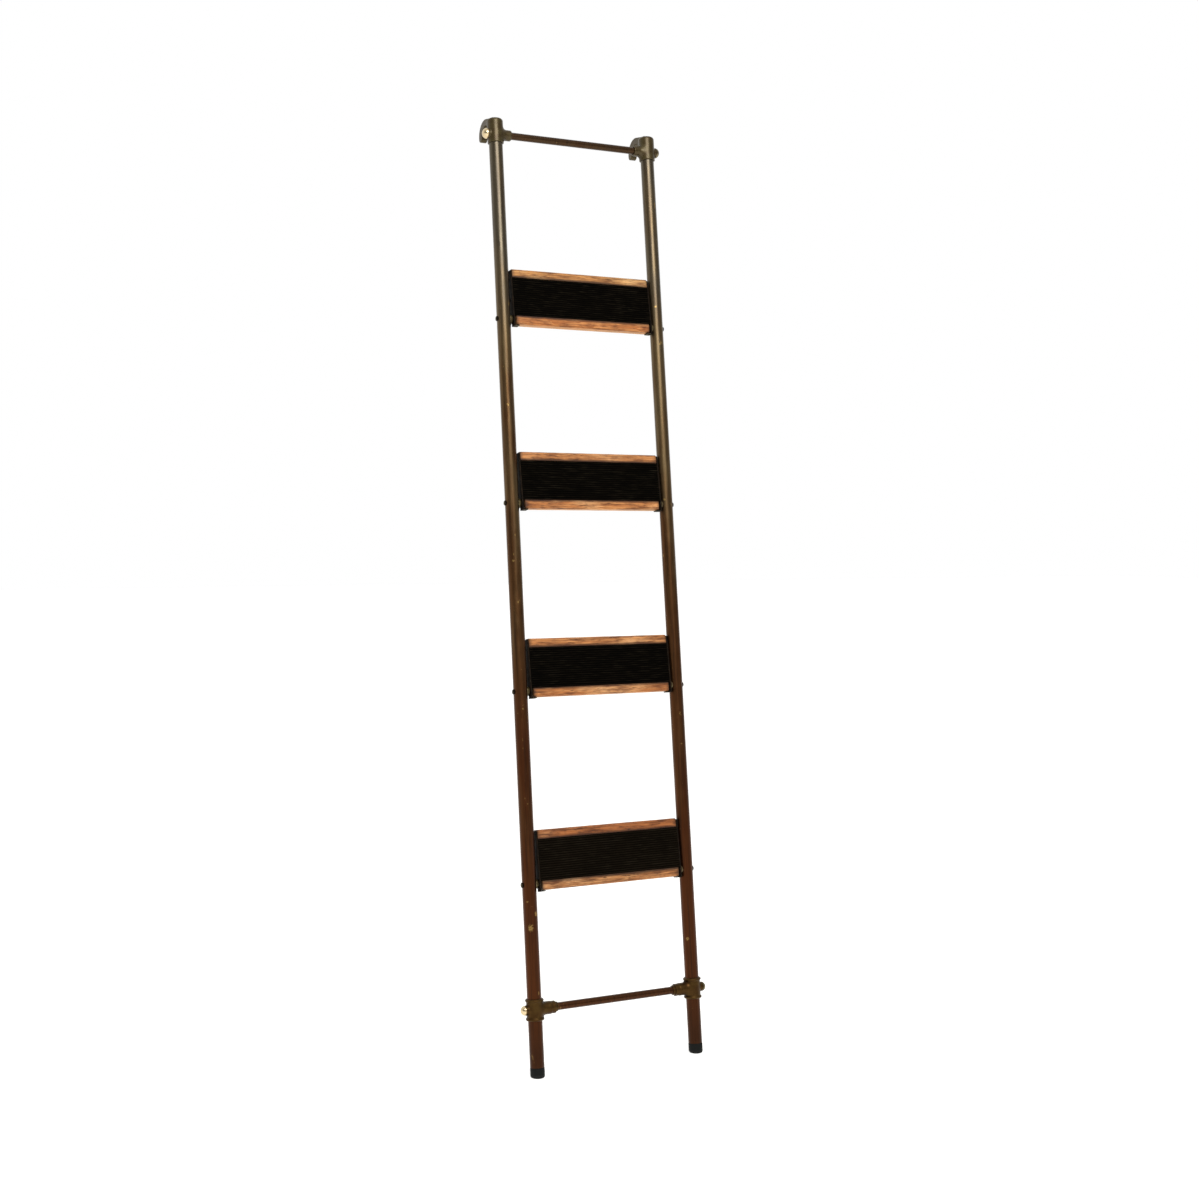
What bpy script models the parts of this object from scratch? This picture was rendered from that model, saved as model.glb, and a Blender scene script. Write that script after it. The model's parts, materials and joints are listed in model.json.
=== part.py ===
"""Leaning ladder shelf: two metal tube stiles with hooks, and four steps that fold flat.

Metres, +Z up. X runs along the steps, +Y points backward to the wall that the ladder leans
on, and the feet stand on the plane Z = 0. Every piece is modelled upright in the ladder's own
frame (X across, Y backward, Z up along the stiles), which one parent empty tilts by LEAN.
"""
import math

import bmesh
import bpy
from mathutils import Matrix

MM = 0.001
FIT_GAP = 0.3 * MM

# The ladder as a whole
LEAN = math.radians(6.5)
STILE_SPACING = 317 * MM
HALF_SPACING = STILE_SPACING / 2
SIDES = {"left": -1, "right": 1}

# Stile tubes
TUBE_RADIUS = 12.7 * MM
TUBE_BORE_RADIUS = 11.1 * MM
FOOT_SHOULDER_HEIGHT = 16.5 * MM
TUBE_TOP = 1715 * MM

# Rubber feet
FOOT_RADIUS = 12.9 * MM
SPIGOT_RADIUS = 10.8 * MM
SPIGOT_TOP = 38 * MM
FOOT_STOCK_BOTTOM = -6 * MM

# Tie rods and the domed screws that hold them
ROD_RADIUS = 6.75 * MM
TOP_ROD_HEIGHT = 1700 * MM
BOTTOM_ROD_HEIGHT = 115.5 * MM
ROD_POCKET_RADIUS = ROD_RADIUS + FIT_GAP
SCREW_RADIUS = 4 * MM
SCREW_BORE_RADIUS = SCREW_RADIUS + FIT_GAP
THREAD_DEPTH = 20 * MM
SCREW_END_GAP = 2 * MM

# Top fittings: a capped socket with a boss for the rod and a hook behind
SOCKET_RADIUS = 15 * MM
SOCKET_BOTTOM = 1682.5 * MM
SOCKET_TOP = 1730 * MM
SOCKET_CORNER = 4 * MM
SOCKET_CROWN = 1.2 * MM
SOCKET_BORE_RADIUS = TUBE_RADIUS + FIT_GAP
TOP_BOSS_RADIUS = 10 * MM
TOP_BOSS_REACH = 30 * MM
TOP_ROD_START = 20.5 * MM
TOP_PAD_RADIUS = 9.6 * MM
TOP_PAD_REACH = 16 * MM
TOP_DOME_RADIUS = 9.8 * MM
TOP_DOME_HEIGHT = 9.6 * MM
HOOK_THICKNESS = 12 * MM
HOOK_CENTRE = (37 * MM, 1712.5 * MM)
HOOK_RADIUS = 28 * MM
HOOK_TIP_RADIUS = 6.8 * MM
HOOK_TIP_ANGLE = math.radians(-11)
HOOK_CREST_ANGLE = math.radians(105)
MOUTH_RADIUS = 17 * MM
HOOK_ROOT_BOTTOM = 1690 * MM
HOOK_ROOT_TOP = 1728 * MM

# Bottom fittings: beaded sleeves with a stepped boss for the rod
SLEEVE_RADIUS = 14.8 * MM
SLEEVE_BEAD_RADIUS = 16.4 * MM
SLEEVE_HALF_HEIGHT = 18.5 * MM
SLEEVE_BEAD_HEIGHT = 5 * MM
SLEEVE_BORE_RADIUS = TUBE_RADIUS + FIT_GAP
BOTTOM_BOSS_RADIUS = 11.4 * MM
BOTTOM_FLANGE_RADIUS = 10.8 * MM
BOTTOM_FLANGE_START = 31 * MM
BOTTOM_FLANGE_END = 38.5 * MM
BOTTOM_NECK_RADIUS = 8.6 * MM
BOTTOM_NECK_END = 43 * MM
BOTTOM_ROD_START = 32 * MM
BOTTOM_PAD_RADIUS = 8.6 * MM
BOTTOM_PAD_REACH = 18 * MM
BOTTOM_DOME_RADIUS = 8.4 * MM
BOTTOM_DOME_HEIGHT = 8 * MM

# Steps, in their own frame: origin on the pivot, Y through the thickness, Z along the depth
STEP_COUNT = 4
FIRST_PIVOT_HEIGHT = 331 * MM
STEP_PITCH = 340 * MM
STEP_TILT = math.radians(4)
STEP_OPEN_ANGLE = math.radians(80)
BOARD_FRONT = -12 * MM
BOARD_BACK = 6 * MM
BOARD_LOW = -12 * MM
BOARD_HIGH = 94 * MM
BOARD_INSET = 18.5 * MM
BOARD_EDGE_RADIUS = 4 * MM
MARGIN = 16.5 * MM
NOTCH_INSET = 21.3 * MM
NOTCH_HIGH = 9.5 * MM

# Ribbed mats let into the boards
MAT_DEPTH = 2.6 * MM
RIB_COUNT = 18
RIB_HEIGHT = 0.9 * MM
RIB_STAND = 0.2 * MM
RIB_SHARES = (0.1, 0.25, 0.75, 0.9)

# End brackets of the steps
PLATE_INSET = 15.5 * MM
PLATE_THICKNESS = 2.7 * MM
PLATE_FRONT = -11.5 * MM
PLATE_BACK = 5.5 * MM
PLATE_HIGH = 92 * MM
PLATE_CORNER = 4 * MM
PIVOT_END_RADIUS = 8.5 * MM
KNUCKLE_RADIUS = 8 * MM
KNUCKLE_INSET = 21 * MM
LIP_INSET = 32 * MM
LIP_BACK = 2 * MM
LIP_THICKNESS = 1.5 * MM
WOOD_SCREW_HEIGHTS = (36 * MM, 74 * MM)
WOOD_SCREW_DEPTH = -3 * MM
WOOD_SCREW_RADIUS = 2 * MM
WOOD_SCREW_HEAD_RADIUS = 3.9 * MM
WOOD_SCREW_LENGTH = 20 * MM

# Pivot bolts, their nuts, and the saddles with the stop lugs
BOLT_RADIUS = 3 * MM
BOLT_HOLE_RADIUS = BOLT_RADIUS + FIT_GAP
BOLT_HEAD_RADIUS = 4.7 * MM
BOLT_HEAD_HEIGHT = 2.6 * MM
BOLT_INSET = 26.2 * MM
NUT_RADIUS = 5.8 * MM
NUT_START = NOTCH_INSET
NUT_END = 25.8 * MM
NUT_POCKET_RADIUS = 7 * MM
NUT_POCKET_END = 26.8 * MM
SADDLE_RADIUS = 8 * MM
SADDLE_END = 15.2 * MM
LUG_RADIUS = 2.5 * MM
LUG_END = 18 * MM
LUG_REACH = 8 * MM
WEB_WIDTH = 4 * MM

# Sides of round pieces
TUBE_SEGMENTS = 24
BOSS_SEGMENTS = 20
KNUCKLE_SEGMENTS = 18
SCREW_SEGMENTS = 16
BORE_SEGMENTS = 12
PILOT_SEGMENTS = 8
HEXAGON = 6

# The ladder's foot line is set forward, so that the origin is under the middle of the object.
HOOK_BACK = HOOK_CENTRE[1] * math.sin(LEAN) + HOOK_CENTRE[0] * math.cos(LEAN) + HOOK_RADIUS
FOOT_LINE_Y = -(HOOK_BACK - FOOT_RADIUS) / 2

FINISHES = {
    "patinated_tube": ((0.13, 0.085, 0.045), 0.38, 1.0),
    "cast_bronze": ((0.16, 0.12, 0.06), 0.42, 1.0),
    "polished_brass": ((0.62, 0.48, 0.27), 0.2, 1.0),
    "dark_bracket": ((0.045, 0.04, 0.03), 0.5, 1.0),
    "oiled_wood": ((0.5, 0.22, 0.075), 0.5, 0.0),
    "black_rubber": ((0.012, 0.011, 0.01), 0.6, 0.0),
}

ALONG_X = (0, math.pi / 2, 0)
OUTLINE_ALONG_X = (math.pi / 2, 0, math.pi / 2)


def clear_scene():
    """Remove every object of the scene."""
    for obj in list(bpy.data.objects):
        bpy.data.objects.remove(obj, do_unlink=True)


def new_collection(name):
    """Add a collection to the scene."""
    collection = bpy.data.collections.new(name)
    bpy.context.scene.collection.children.link(collection)
    return collection


def new_finish(name, finish):
    """One Principled material for one sub-part."""
    colour, roughness, metallic = FINISHES[finish]
    material = bpy.data.materials.new(name)
    material.use_nodes = True
    shader = material.node_tree.nodes["Principled BSDF"]
    shader.inputs["Base Color"].default_value = (*colour, 1)
    shader.inputs["Roughness"].default_value = roughness
    shader.inputs["Metallic"].default_value = metallic
    material.diffuse_color = (*colour, 1)
    return material


def new_empty(name, parent=None, location=(0, 0, 0), rotation=(0, 0, 0)):
    """A frame that pieces are placed in."""
    empty = bpy.data.objects.new(name, None)
    PARTS.objects.link(empty)
    empty.parent = parent
    empty.location = location
    empty.rotation_euler = rotation
    return empty


def place(name, mesh, parent, location=(0, 0, 0), rotation=(0, 0, 0), finish=None):
    """Make a mesh an object: a sub-part when it has a finish, otherwise a hidden tool."""
    obj = bpy.data.objects.new(name, mesh)
    obj.parent = parent
    obj.location = location
    obj.rotation_euler = rotation
    if finish:
        mesh.materials.append(new_finish(name, finish))
        PARTS.objects.link(obj)
    else:
        obj.hide_render = True
        obj.display_type = "WIRE"
        TOOLS.objects.link(obj)
    return obj


def combine(obj, tool, operation):
    """Join a tool to an object, or cut the object with it."""
    boolean = obj.modifiers.new(tool.name, "BOOLEAN")
    boolean.operation = operation
    boolean.solver = "EXACT"
    boolean.object = tool


def smooth(mesh):
    """Shade round faces smooth and keep the sharp edges."""
    mesh.shade_smooth()
    mesh.set_sharp_from_angle(angle=math.radians(35))


def cylinder_mesh(name, radius, spans, segments=BORE_SEGMENTS):
    """Cylinders along Z: spans holds (x, y, low, high) for each of them."""
    shape = bmesh.new()
    for x, y, low, high in spans:
        middle = Matrix.Translation((x, y, (low + high) / 2))
        bmesh.ops.create_cone(shape, cap_ends=True, segments=segments, radius1=radius,
                              radius2=radius, depth=high - low, matrix=middle)
    mesh = bpy.data.meshes.new(name)
    shape.to_mesh(mesh)
    shape.free()
    smooth(mesh)
    return mesh


def box_mesh(name, low, high):
    """A box between two corners."""
    size = [b - a for a, b in zip(low, high)]
    middle = [(a + b) / 2 for a, b in zip(low, high)]
    shape = bmesh.new()
    matrix = Matrix.Translation(middle) @ Matrix.Diagonal((*size, 1))
    bmesh.ops.create_cube(shape, size=1, matrix=matrix)
    mesh = bpy.data.meshes.new(name)
    shape.to_mesh(mesh)
    shape.free()
    return mesh


def arc(centre, radius, start, end, count):
    """Points on an arc from one angle to another, both ends included."""
    angles = [start + (end - start) * i / (count - 1) for i in range(count)]
    return [(centre[0] + radius * math.cos(a), centre[1] + radius * math.sin(a)) for a in angles]


def turned(name, profile, parent, location=(0, 0, 0), rotation=(0, 0, 0), finish=None,
           steps=BOSS_SEGMENTS, ring=False):
    """Turn a profile of (radius, height) points about Z. A ring's profile is closed."""
    mesh = bpy.data.meshes.new(name)
    points = [(radius, 0, height) for radius, height in profile]
    edges = [(i, i + 1) for i in range(len(points) - 1)]
    if ring:
        edges.append((len(points) - 1, 0))
    mesh.from_pydata(points, edges, [])
    obj = place(name, mesh, parent, location, rotation, finish)
    screw = obj.modifiers.new("turn", "SCREW")
    screw.steps = steps
    screw.render_steps = steps
    screw.use_merge_vertices = True
    screw.merge_threshold = 0.00001
    screw.use_smooth_shade = True
    return obj


def plate(name, outline, width, parent, location=(0, 0, 0), finish=None):
    """A flat outline of (Y, Z) points with its thickness along X, as a welded mesh."""
    curve = bpy.data.curves.new(name, "CURVE")
    curve.dimensions = "2D"
    curve.fill_mode = "BOTH"
    curve.extrude = width / 2
    spline = curve.splines.new("POLY")
    spline.points.add(len(outline) - 1)
    for point, (y, z) in zip(spline.points, outline):
        point.co = (y, z, 0, 1)
    spline.use_cyclic_u = True
    source = bpy.data.objects.new(name + "_outline", curve)
    source.parent = parent
    source.location = location
    source.rotation_euler = OUTLINE_ALONG_X
    TOOLS.objects.link(source)
    graph = bpy.context.evaluated_depsgraph_get()
    mesh = bpy.data.meshes.new_from_object(source.evaluated_get(graph))
    mesh.name = name
    bpy.data.objects.remove(source, do_unlink=True)
    shape = bmesh.new()
    shape.from_mesh(mesh)
    bmesh.ops.remove_doubles(shape, verts=shape.verts, dist=0.000001)
    shape.to_mesh(mesh)
    shape.free()
    mesh.materials.clear()
    smooth(mesh)
    return place(name, mesh, parent, location, OUTLINE_ALONG_X, finish)


def inward(side):
    """Rotation that points a turned piece's Z from a stile to the middle of the ladder."""
    return (0, -side * math.pi / 2, 0)


def build_stile(label, side):
    """A tube with holes for the step pivots and the tie rod screws."""
    low = FOOT_SHOULDER_HEIGHT + FIT_GAP
    profile = [(TUBE_RADIUS, TUBE_TOP), (TUBE_RADIUS, low),
               (TUBE_BORE_RADIUS, low), (TUBE_BORE_RADIUS, TUBE_TOP)]
    axis = (side * HALF_SPACING, 0, 0)
    stile = turned(f"stile_{label}", profile, LADDER, axis, finish="patinated_tube",
                   steps=TUBE_SEGMENTS, ring=True)
    reach = 2 * TUBE_RADIUS
    pivots = [(-height, 0, -reach, reach) for height in PIVOT_HEIGHTS]
    holes = cylinder_mesh(f"pivot_holes_{label}", BOLT_HOLE_RADIUS, pivots)
    combine(stile, place(holes.name, holes, LADDER, axis, ALONG_X), "DIFFERENCE")
    rods = [(-height, 0, -reach, reach) for height in (TOP_ROD_HEIGHT, BOTTOM_ROD_HEIGHT)]
    bores = cylinder_mesh(f"rod_screw_holes_{label}", SCREW_BORE_RADIUS, rods)
    combine(stile, place(bores.name, bores, LADDER, axis, ALONG_X), "DIFFERENCE")


def build_foot(label, side):
    """A rubber plug whose sole is cut level with the floor."""
    profile = [(0, SPIGOT_TOP), (SPIGOT_RADIUS, SPIGOT_TOP),
               (SPIGOT_RADIUS, FOOT_SHOULDER_HEIGHT), (FOOT_RADIUS, FOOT_SHOULDER_HEIGHT),
               (FOOT_RADIUS, FOOT_STOCK_BOTTOM), (0, FOOT_STOCK_BOTTOM)]
    axis = (side * HALF_SPACING, 0, 0)
    foot = turned(f"foot_{label}", profile, LADDER, axis, finish="black_rubber")
    reach = 3 * FOOT_RADIUS
    floor = box_mesh(f"floor_cut_{label}", (-reach, -reach, -reach), (reach, reach, 0))
    combine(foot, place(floor.name, floor, LADDER, axis, (LEAN, 0, 0)), "DIFFERENCE")


def hook_outline():
    """The hook seen from the side: crest, back, rounded tip, mouth and root."""
    tip_offset = HOOK_RADIUS - HOOK_TIP_RADIUS
    tip = (HOOK_CENTRE[0] + tip_offset * math.cos(HOOK_TIP_ANGLE),
           HOOK_CENTRE[1] + tip_offset * math.sin(HOOK_TIP_ANGLE))
    mouth = (tip[0] - HOOK_TIP_RADIUS - MOUTH_RADIUS, tip[1])
    outline = arc(HOOK_CENTRE, HOOK_RADIUS, HOOK_CREST_ANGLE, HOOK_TIP_ANGLE, 11)
    outline += arc(tip, HOOK_TIP_RADIUS, HOOK_TIP_ANGLE, -math.pi, 7)[1:]
    outline += arc(mouth, MOUTH_RADIUS, 0, math.pi, 10)[1:]
    return outline + [(SOCKET_RADIUS - MM, HOOK_ROOT_BOTTOM), (0, HOOK_ROOT_BOTTOM),
                      (0, HOOK_ROOT_TOP)]


def build_top_fitting(label, side):
    """The socket over a stile's top, with its boss, its outer pad and its hook."""
    shoulder = SOCKET_TOP - SOCKET_CROWN
    corner = (SOCKET_RADIUS - SOCKET_CORNER, shoulder - SOCKET_CORNER)
    profile = [(0, SOCKET_TOP)] + arc(corner, SOCKET_CORNER, math.pi / 2, 0, 4)
    profile += [(SOCKET_RADIUS, SOCKET_BOTTOM), (0, SOCKET_BOTTOM)]
    axis = (side * HALF_SPACING, 0, 0)
    centre = (side * HALF_SPACING, 0, TOP_ROD_HEIGHT)
    fitting = turned(f"top_hook_fitting_{label}", profile, LADDER, axis, finish="cast_bronze")
    boss = cylinder_mesh(f"top_boss_{label}", TOP_BOSS_RADIUS, [(0, 0, 0, TOP_BOSS_REACH)],
                         BOSS_SEGMENTS)
    combine(fitting, place(boss.name, boss, LADDER, centre, inward(side)), "UNION")
    pad = cylinder_mesh(f"top_pad_{label}", TOP_PAD_RADIUS, [(0, 0, -TOP_PAD_REACH, 0)],
                        BOSS_SEGMENTS)
    combine(fitting, place(pad.name, pad, LADDER, centre, inward(side)), "UNION")
    hook = plate(f"hook_{label}", hook_outline(), HOOK_THICKNESS, LADDER, axis)
    combine(fitting, hook, "UNION")
    bore = cylinder_mesh(f"socket_bore_{label}", SOCKET_BORE_RADIUS,
                         [(0, 0, SOCKET_BOTTOM - MM, TUBE_TOP + FIT_GAP)], TUBE_SEGMENTS)
    combine(fitting, place(bore.name, bore, LADDER, axis), "DIFFERENCE")
    cut_rod_seat(fitting, side, centre, TOP_ROD_START, TOP_BOSS_REACH)


def cut_rod_seat(fitting, side, centre, rod_start, boss_reach):
    """Bore a fitting for the domed screw, and its boss for the end of the tie rod."""
    reach = 2 * SLEEVE_RADIUS
    seat = rod_start - FIT_GAP
    profile = [(0, boss_reach + MM), (ROD_POCKET_RADIUS, boss_reach + MM),
               (ROD_POCKET_RADIUS, seat), (SCREW_BORE_RADIUS, seat),
               (SCREW_BORE_RADIUS, -reach), (0, -reach)]
    name = f"{fitting.name}_rod_seat"
    combine(fitting, turned(name, profile, LADDER, centre, inward(side),
                            steps=SCREW_SEGMENTS), "DIFFERENCE")


def build_bottom_tee(label, side):
    """The beaded sleeve round a stile, with a stepped boss and an outer pad."""
    top = BOTTOM_ROD_HEIGHT + SLEEVE_HALF_HEIGHT
    low = BOTTOM_ROD_HEIGHT - SLEEVE_HALF_HEIGHT
    bead = SLEEVE_BEAD_RADIUS - SLEEVE_BEAD_HEIGHT / 2
    half = SLEEVE_BEAD_HEIGHT / 2
    profile = [(0, top)] + arc((bead, top - half), half, math.pi / 2, -math.pi / 4, 4)
    profile += [(SLEEVE_RADIUS, top - SLEEVE_BEAD_HEIGHT),
                (SLEEVE_RADIUS, low + SLEEVE_BEAD_HEIGHT)]
    profile += arc((bead, low + half), half, math.pi / 4, -math.pi / 2, 4) + [(0, low)]
    axis = (side * HALF_SPACING, 0, 0)
    centre = (side * HALF_SPACING, 0, BOTTOM_ROD_HEIGHT)
    tee = turned(f"bottom_tee_{label}", profile, LADDER, axis, finish="cast_bronze")
    boss_profile = [(0, BOTTOM_NECK_END), (BOTTOM_NECK_RADIUS, BOTTOM_NECK_END),
                    (BOTTOM_NECK_RADIUS, BOTTOM_FLANGE_END + MM),
                    (BOTTOM_FLANGE_RADIUS, BOTTOM_FLANGE_END),
                    (BOTTOM_FLANGE_RADIUS, BOTTOM_FLANGE_START),
                    (BOTTOM_BOSS_RADIUS, BOTTOM_FLANGE_START - MM), (BOTTOM_BOSS_RADIUS, 0), (0, 0)]
    boss = turned(f"bottom_boss_{label}", boss_profile, LADDER, centre, inward(side))
    combine(tee, boss, "UNION")
    pad = cylinder_mesh(f"bottom_pad_{label}", BOTTOM_PAD_RADIUS, [(0, 0, -BOTTOM_PAD_REACH, 0)],
                        BOSS_SEGMENTS)
    combine(tee, place(pad.name, pad, LADDER, centre, inward(side)), "UNION")
    bore = cylinder_mesh(f"sleeve_bore_{label}", SLEEVE_BORE_RADIUS, [(0, 0, low - MM, top + MM)],
                         TUBE_SEGMENTS)
    combine(tee, place(bore.name, bore, LADDER, axis), "DIFFERENCE")
    cut_rod_seat(tee, side, centre, BOTTOM_ROD_START, BOTTOM_NECK_END)


def build_tie_rod(level, height, start):
    """A rod from boss to boss, drilled at both ends for the domed screws."""
    half = HALF_SPACING - start
    mesh = cylinder_mesh(f"{level}_tie_rod", ROD_RADIUS, [(0, 0, -half, half)], TUBE_SEGMENTS)
    rod = place(mesh.name, mesh, LADDER, (0, 0, height), ALONG_X, "patinated_tube")
    drill = half - THREAD_DEPTH
    ends = [(0, 0, -half - MM, -drill), (0, 0, drill, half + MM)]
    holes = cylinder_mesh(f"{level}_rod_threads", SCREW_BORE_RADIUS, ends)
    combine(rod, place(holes.name, holes, LADDER, (0, 0, height), ALONG_X), "DIFFERENCE")


def build_rod_screw(level, label, side, seat, dome):
    """A screw with a polished dome, from the outer pad into the end of the tie rod."""
    height, pad_reach, rod_start = seat
    dome_radius, dome_height = dome
    length = pad_reach + rod_start + THREAD_DEPTH - SCREW_END_GAP
    profile = [(x * dome_radius, z * dome_height) for x, z in arc((0, 0), 1, math.pi / 2, 0, 6)]
    profile[0] = (0, dome_height)
    profile += [(SCREW_RADIUS, 0), (SCREW_RADIUS, -length), (0, -length)]
    centre = (side * (HALF_SPACING + pad_reach + FIT_GAP), 0, height)
    turned(f"rod_screw_{level}_{label}", profile, LADDER, centre, inward(-side),
           "polished_brass", steps=SCREW_SEGMENTS)


def board_outline():
    """Cross-section of a board: rounded edges, and a rebate for the mat in the front."""
    r = BOARD_EDGE_RADIUS
    quarter = math.pi / 2
    floor = BOARD_FRONT + MAT_DEPTH
    outline = arc((BOARD_FRONT + r, BOARD_LOW + r), r, 2 * quarter, 3 * quarter, 4)
    outline += arc((BOARD_BACK - r, BOARD_LOW + r), r, 3 * quarter, 4 * quarter, 4)
    outline += arc((BOARD_BACK - r, BOARD_HIGH - r), r, 0, quarter, 4)
    outline += arc((BOARD_FRONT + r, BOARD_HIGH - r), r, quarter, 2 * quarter, 4)
    return outline + [(BOARD_FRONT, BOARD_HIGH - MARGIN), (floor, BOARD_HIGH - MARGIN),
                      (floor, BOARD_LOW + MARGIN), (BOARD_FRONT, BOARD_LOW + MARGIN)]


def mat_outline():
    """Cross-section of a mat: a flat back and a front with even, flat-topped ribs."""
    low = BOARD_LOW + MARGIN + FIT_GAP
    high = BOARD_HIGH - MARGIN - FIT_GAP
    back = BOARD_FRONT + MAT_DEPTH - FIT_GAP
    crest = BOARD_FRONT - RIB_STAND
    valley = crest + RIB_HEIGHT
    pitch = (high - low) / RIB_COUNT
    outline = [(back, low), (back, high)]
    for i in range(RIB_COUNT):
        steps = [high - (i + share) * pitch for share in RIB_SHARES]
        outline += zip((valley, crest, crest, valley), steps)
    return outline


def bracket_outline():
    """A step's end plate: round about the pivot, with a toe that carries the lip."""
    r = PLATE_CORNER
    quarter = math.pi / 2
    toe = BOARD_LOW - FIT_GAP - LIP_THICKNESS
    meet = -math.acos(PLATE_BACK / PIVOT_END_RADIUS)
    outline = arc((0, 0), PIVOT_END_RADIUS, -quarter, meet, 4)
    outline += arc((PLATE_BACK - r, PLATE_HIGH - r), r, 0, quarter, 4)
    outline += arc((PLATE_FRONT + r, PLATE_HIGH - r), r, quarter, 2 * quarter, 4)
    return outline + [(PLATE_FRONT, toe), (0, toe)]


def build_bracket(index, label, side, frame):
    """The end plate with its knuckle, its lip under the board, and its holes."""
    name = f"step_{index}_bracket_{label}"
    middle = side * (HALF_SPACING - PLATE_INSET - PLATE_THICKNESS / 2)
    bracket = plate(name, bracket_outline(), PLATE_THICKNESS, frame, (middle, 0, 0),
                    "dark_bracket")
    stile = (side * HALF_SPACING, 0, 0)
    knuckle = cylinder_mesh(f"{name}_knuckle", KNUCKLE_RADIUS,
                            [(0, 0, PLATE_INSET + MM, KNUCKLE_INSET)], KNUCKLE_SEGMENTS)
    combine(bracket, place(knuckle.name, knuckle, frame, stile, inward(side)), "UNION")
    ends = sorted(side * (HALF_SPACING - inset) for inset in (PLATE_INSET + MM, LIP_INSET))
    toe = BOARD_LOW - FIT_GAP
    lip = box_mesh(f"{name}_lip", (ends[0], PLATE_FRONT, toe - LIP_THICKNESS),
                   (ends[1], LIP_BACK, toe))
    combine(bracket, place(lip.name, lip, frame), "UNION")
    hole = cylinder_mesh(f"{name}_hole", BOLT_HOLE_RADIUS,
                         [(0, 0, PLATE_INSET - MM, KNUCKLE_INSET + MM)])
    combine(bracket, place(hole.name, hole, frame, stile, inward(side)), "DIFFERENCE")
    for number, height in enumerate(WOOD_SCREW_HEIGHTS):
        sink = [(0, PLATE_THICKNESS + MM), (WOOD_SCREW_RADIUS + FIT_GAP, PLATE_THICKNESS + MM),
                (WOOD_SCREW_RADIUS + FIT_GAP, 2 * MM), (WOOD_SCREW_HEAD_RADIUS + FIT_GAP, 0),
                (WOOD_SCREW_HEAD_RADIUS + FIT_GAP, -MM), (0, -MM)]
        face = (side * (HALF_SPACING - PLATE_INSET), WOOD_SCREW_DEPTH, height)
        sinker = turned(f"{name}_sink_{number}", sink, frame, face, inward(side),
                        steps=PILOT_SEGMENTS)
        combine(bracket, sinker, "DIFFERENCE")


def build_board(index, frame):
    """The wooden board: notched at its lower corners and drilled for its fasteners."""
    name = f"step_{index}_board"
    half = HALF_SPACING - BOARD_INSET
    board = plate(name, board_outline(), 2 * half, frame, finish="oiled_wood")
    for side in SIDES.values():
        ends = sorted(side * (HALF_SPACING - inset) for inset in (BOARD_INSET - MM, NOTCH_INSET))
        notch = box_mesh(f"{name}_notch_{side}", (ends[0], BOARD_FRONT - MM, BOARD_LOW - MM),
                         (ends[1], BOARD_BACK + MM, NOTCH_HIGH))
        combine(board, place(notch.name, notch, frame), "DIFFERENCE")
    start = HALF_SPACING - NOTCH_INSET + MM
    end = HALF_SPACING - NUT_POCKET_END
    pockets = cylinder_mesh(f"{name}_nut_pockets", NUT_POCKET_RADIUS,
                            [(0, 0, -start, -end), (0, 0, end, start)])
    combine(board, place(pockets.name, pockets, frame, rotation=ALONG_X), "DIFFERENCE")
    start = half + MM
    end = HALF_SPACING - PLATE_INSET - WOOD_SCREW_LENGTH - MM
    spans = [(-height, WOOD_SCREW_DEPTH, *ends) for height in WOOD_SCREW_HEIGHTS
             for ends in ((-start, -end), (end, start))]
    pilots = cylinder_mesh(f"{name}_pilots", WOOD_SCREW_RADIUS + FIT_GAP, spans, PILOT_SEGMENTS)
    combine(board, place(pilots.name, pilots, frame, rotation=ALONG_X), "DIFFERENCE")


def build_pivot_bolt(index, label, side, frame):
    """The bolt that one end of a step turns on, with a low domed head outside the stile."""
    rise = BOLT_HEAD_HEIGHT
    length = TUBE_RADIUS + FIT_GAP + BOLT_INSET
    profile = [(0, rise), (0.6 * BOLT_HEAD_RADIUS, 0.85 * rise),
               (BOLT_HEAD_RADIUS, 0.4 * rise), (BOLT_HEAD_RADIUS, 0),
               (BOLT_RADIUS, 0), (BOLT_RADIUS, -length), (0, -length)]
    seat = (side * (HALF_SPACING + TUBE_RADIUS + FIT_GAP), 0, 0)
    turned(f"step_{index}_pivot_bolt_{label}", profile, frame, seat, inward(-side),
           "cast_bronze", steps=BORE_SEGMENTS)


def build_pivot_nut(index, label, side, frame):
    """The hexagon nut on a pivot bolt, inside the board's pocket."""
    name = f"step_{index}_pivot_nut_{label}"
    stile = (side * HALF_SPACING, 0, 0)
    mesh = cylinder_mesh(name, NUT_RADIUS, [(0, 0, NUT_START, NUT_END)], HEXAGON)
    nut = place(name, mesh, frame, stile, inward(side), "dark_bracket")
    thread = cylinder_mesh(f"{name}_thread", BOLT_HOLE_RADIUS,
                           [(0, 0, NUT_START - MM, NUT_END + MM)])
    combine(nut, place(thread.name, thread, frame, stile, inward(side)), "DIFFERENCE")


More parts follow.
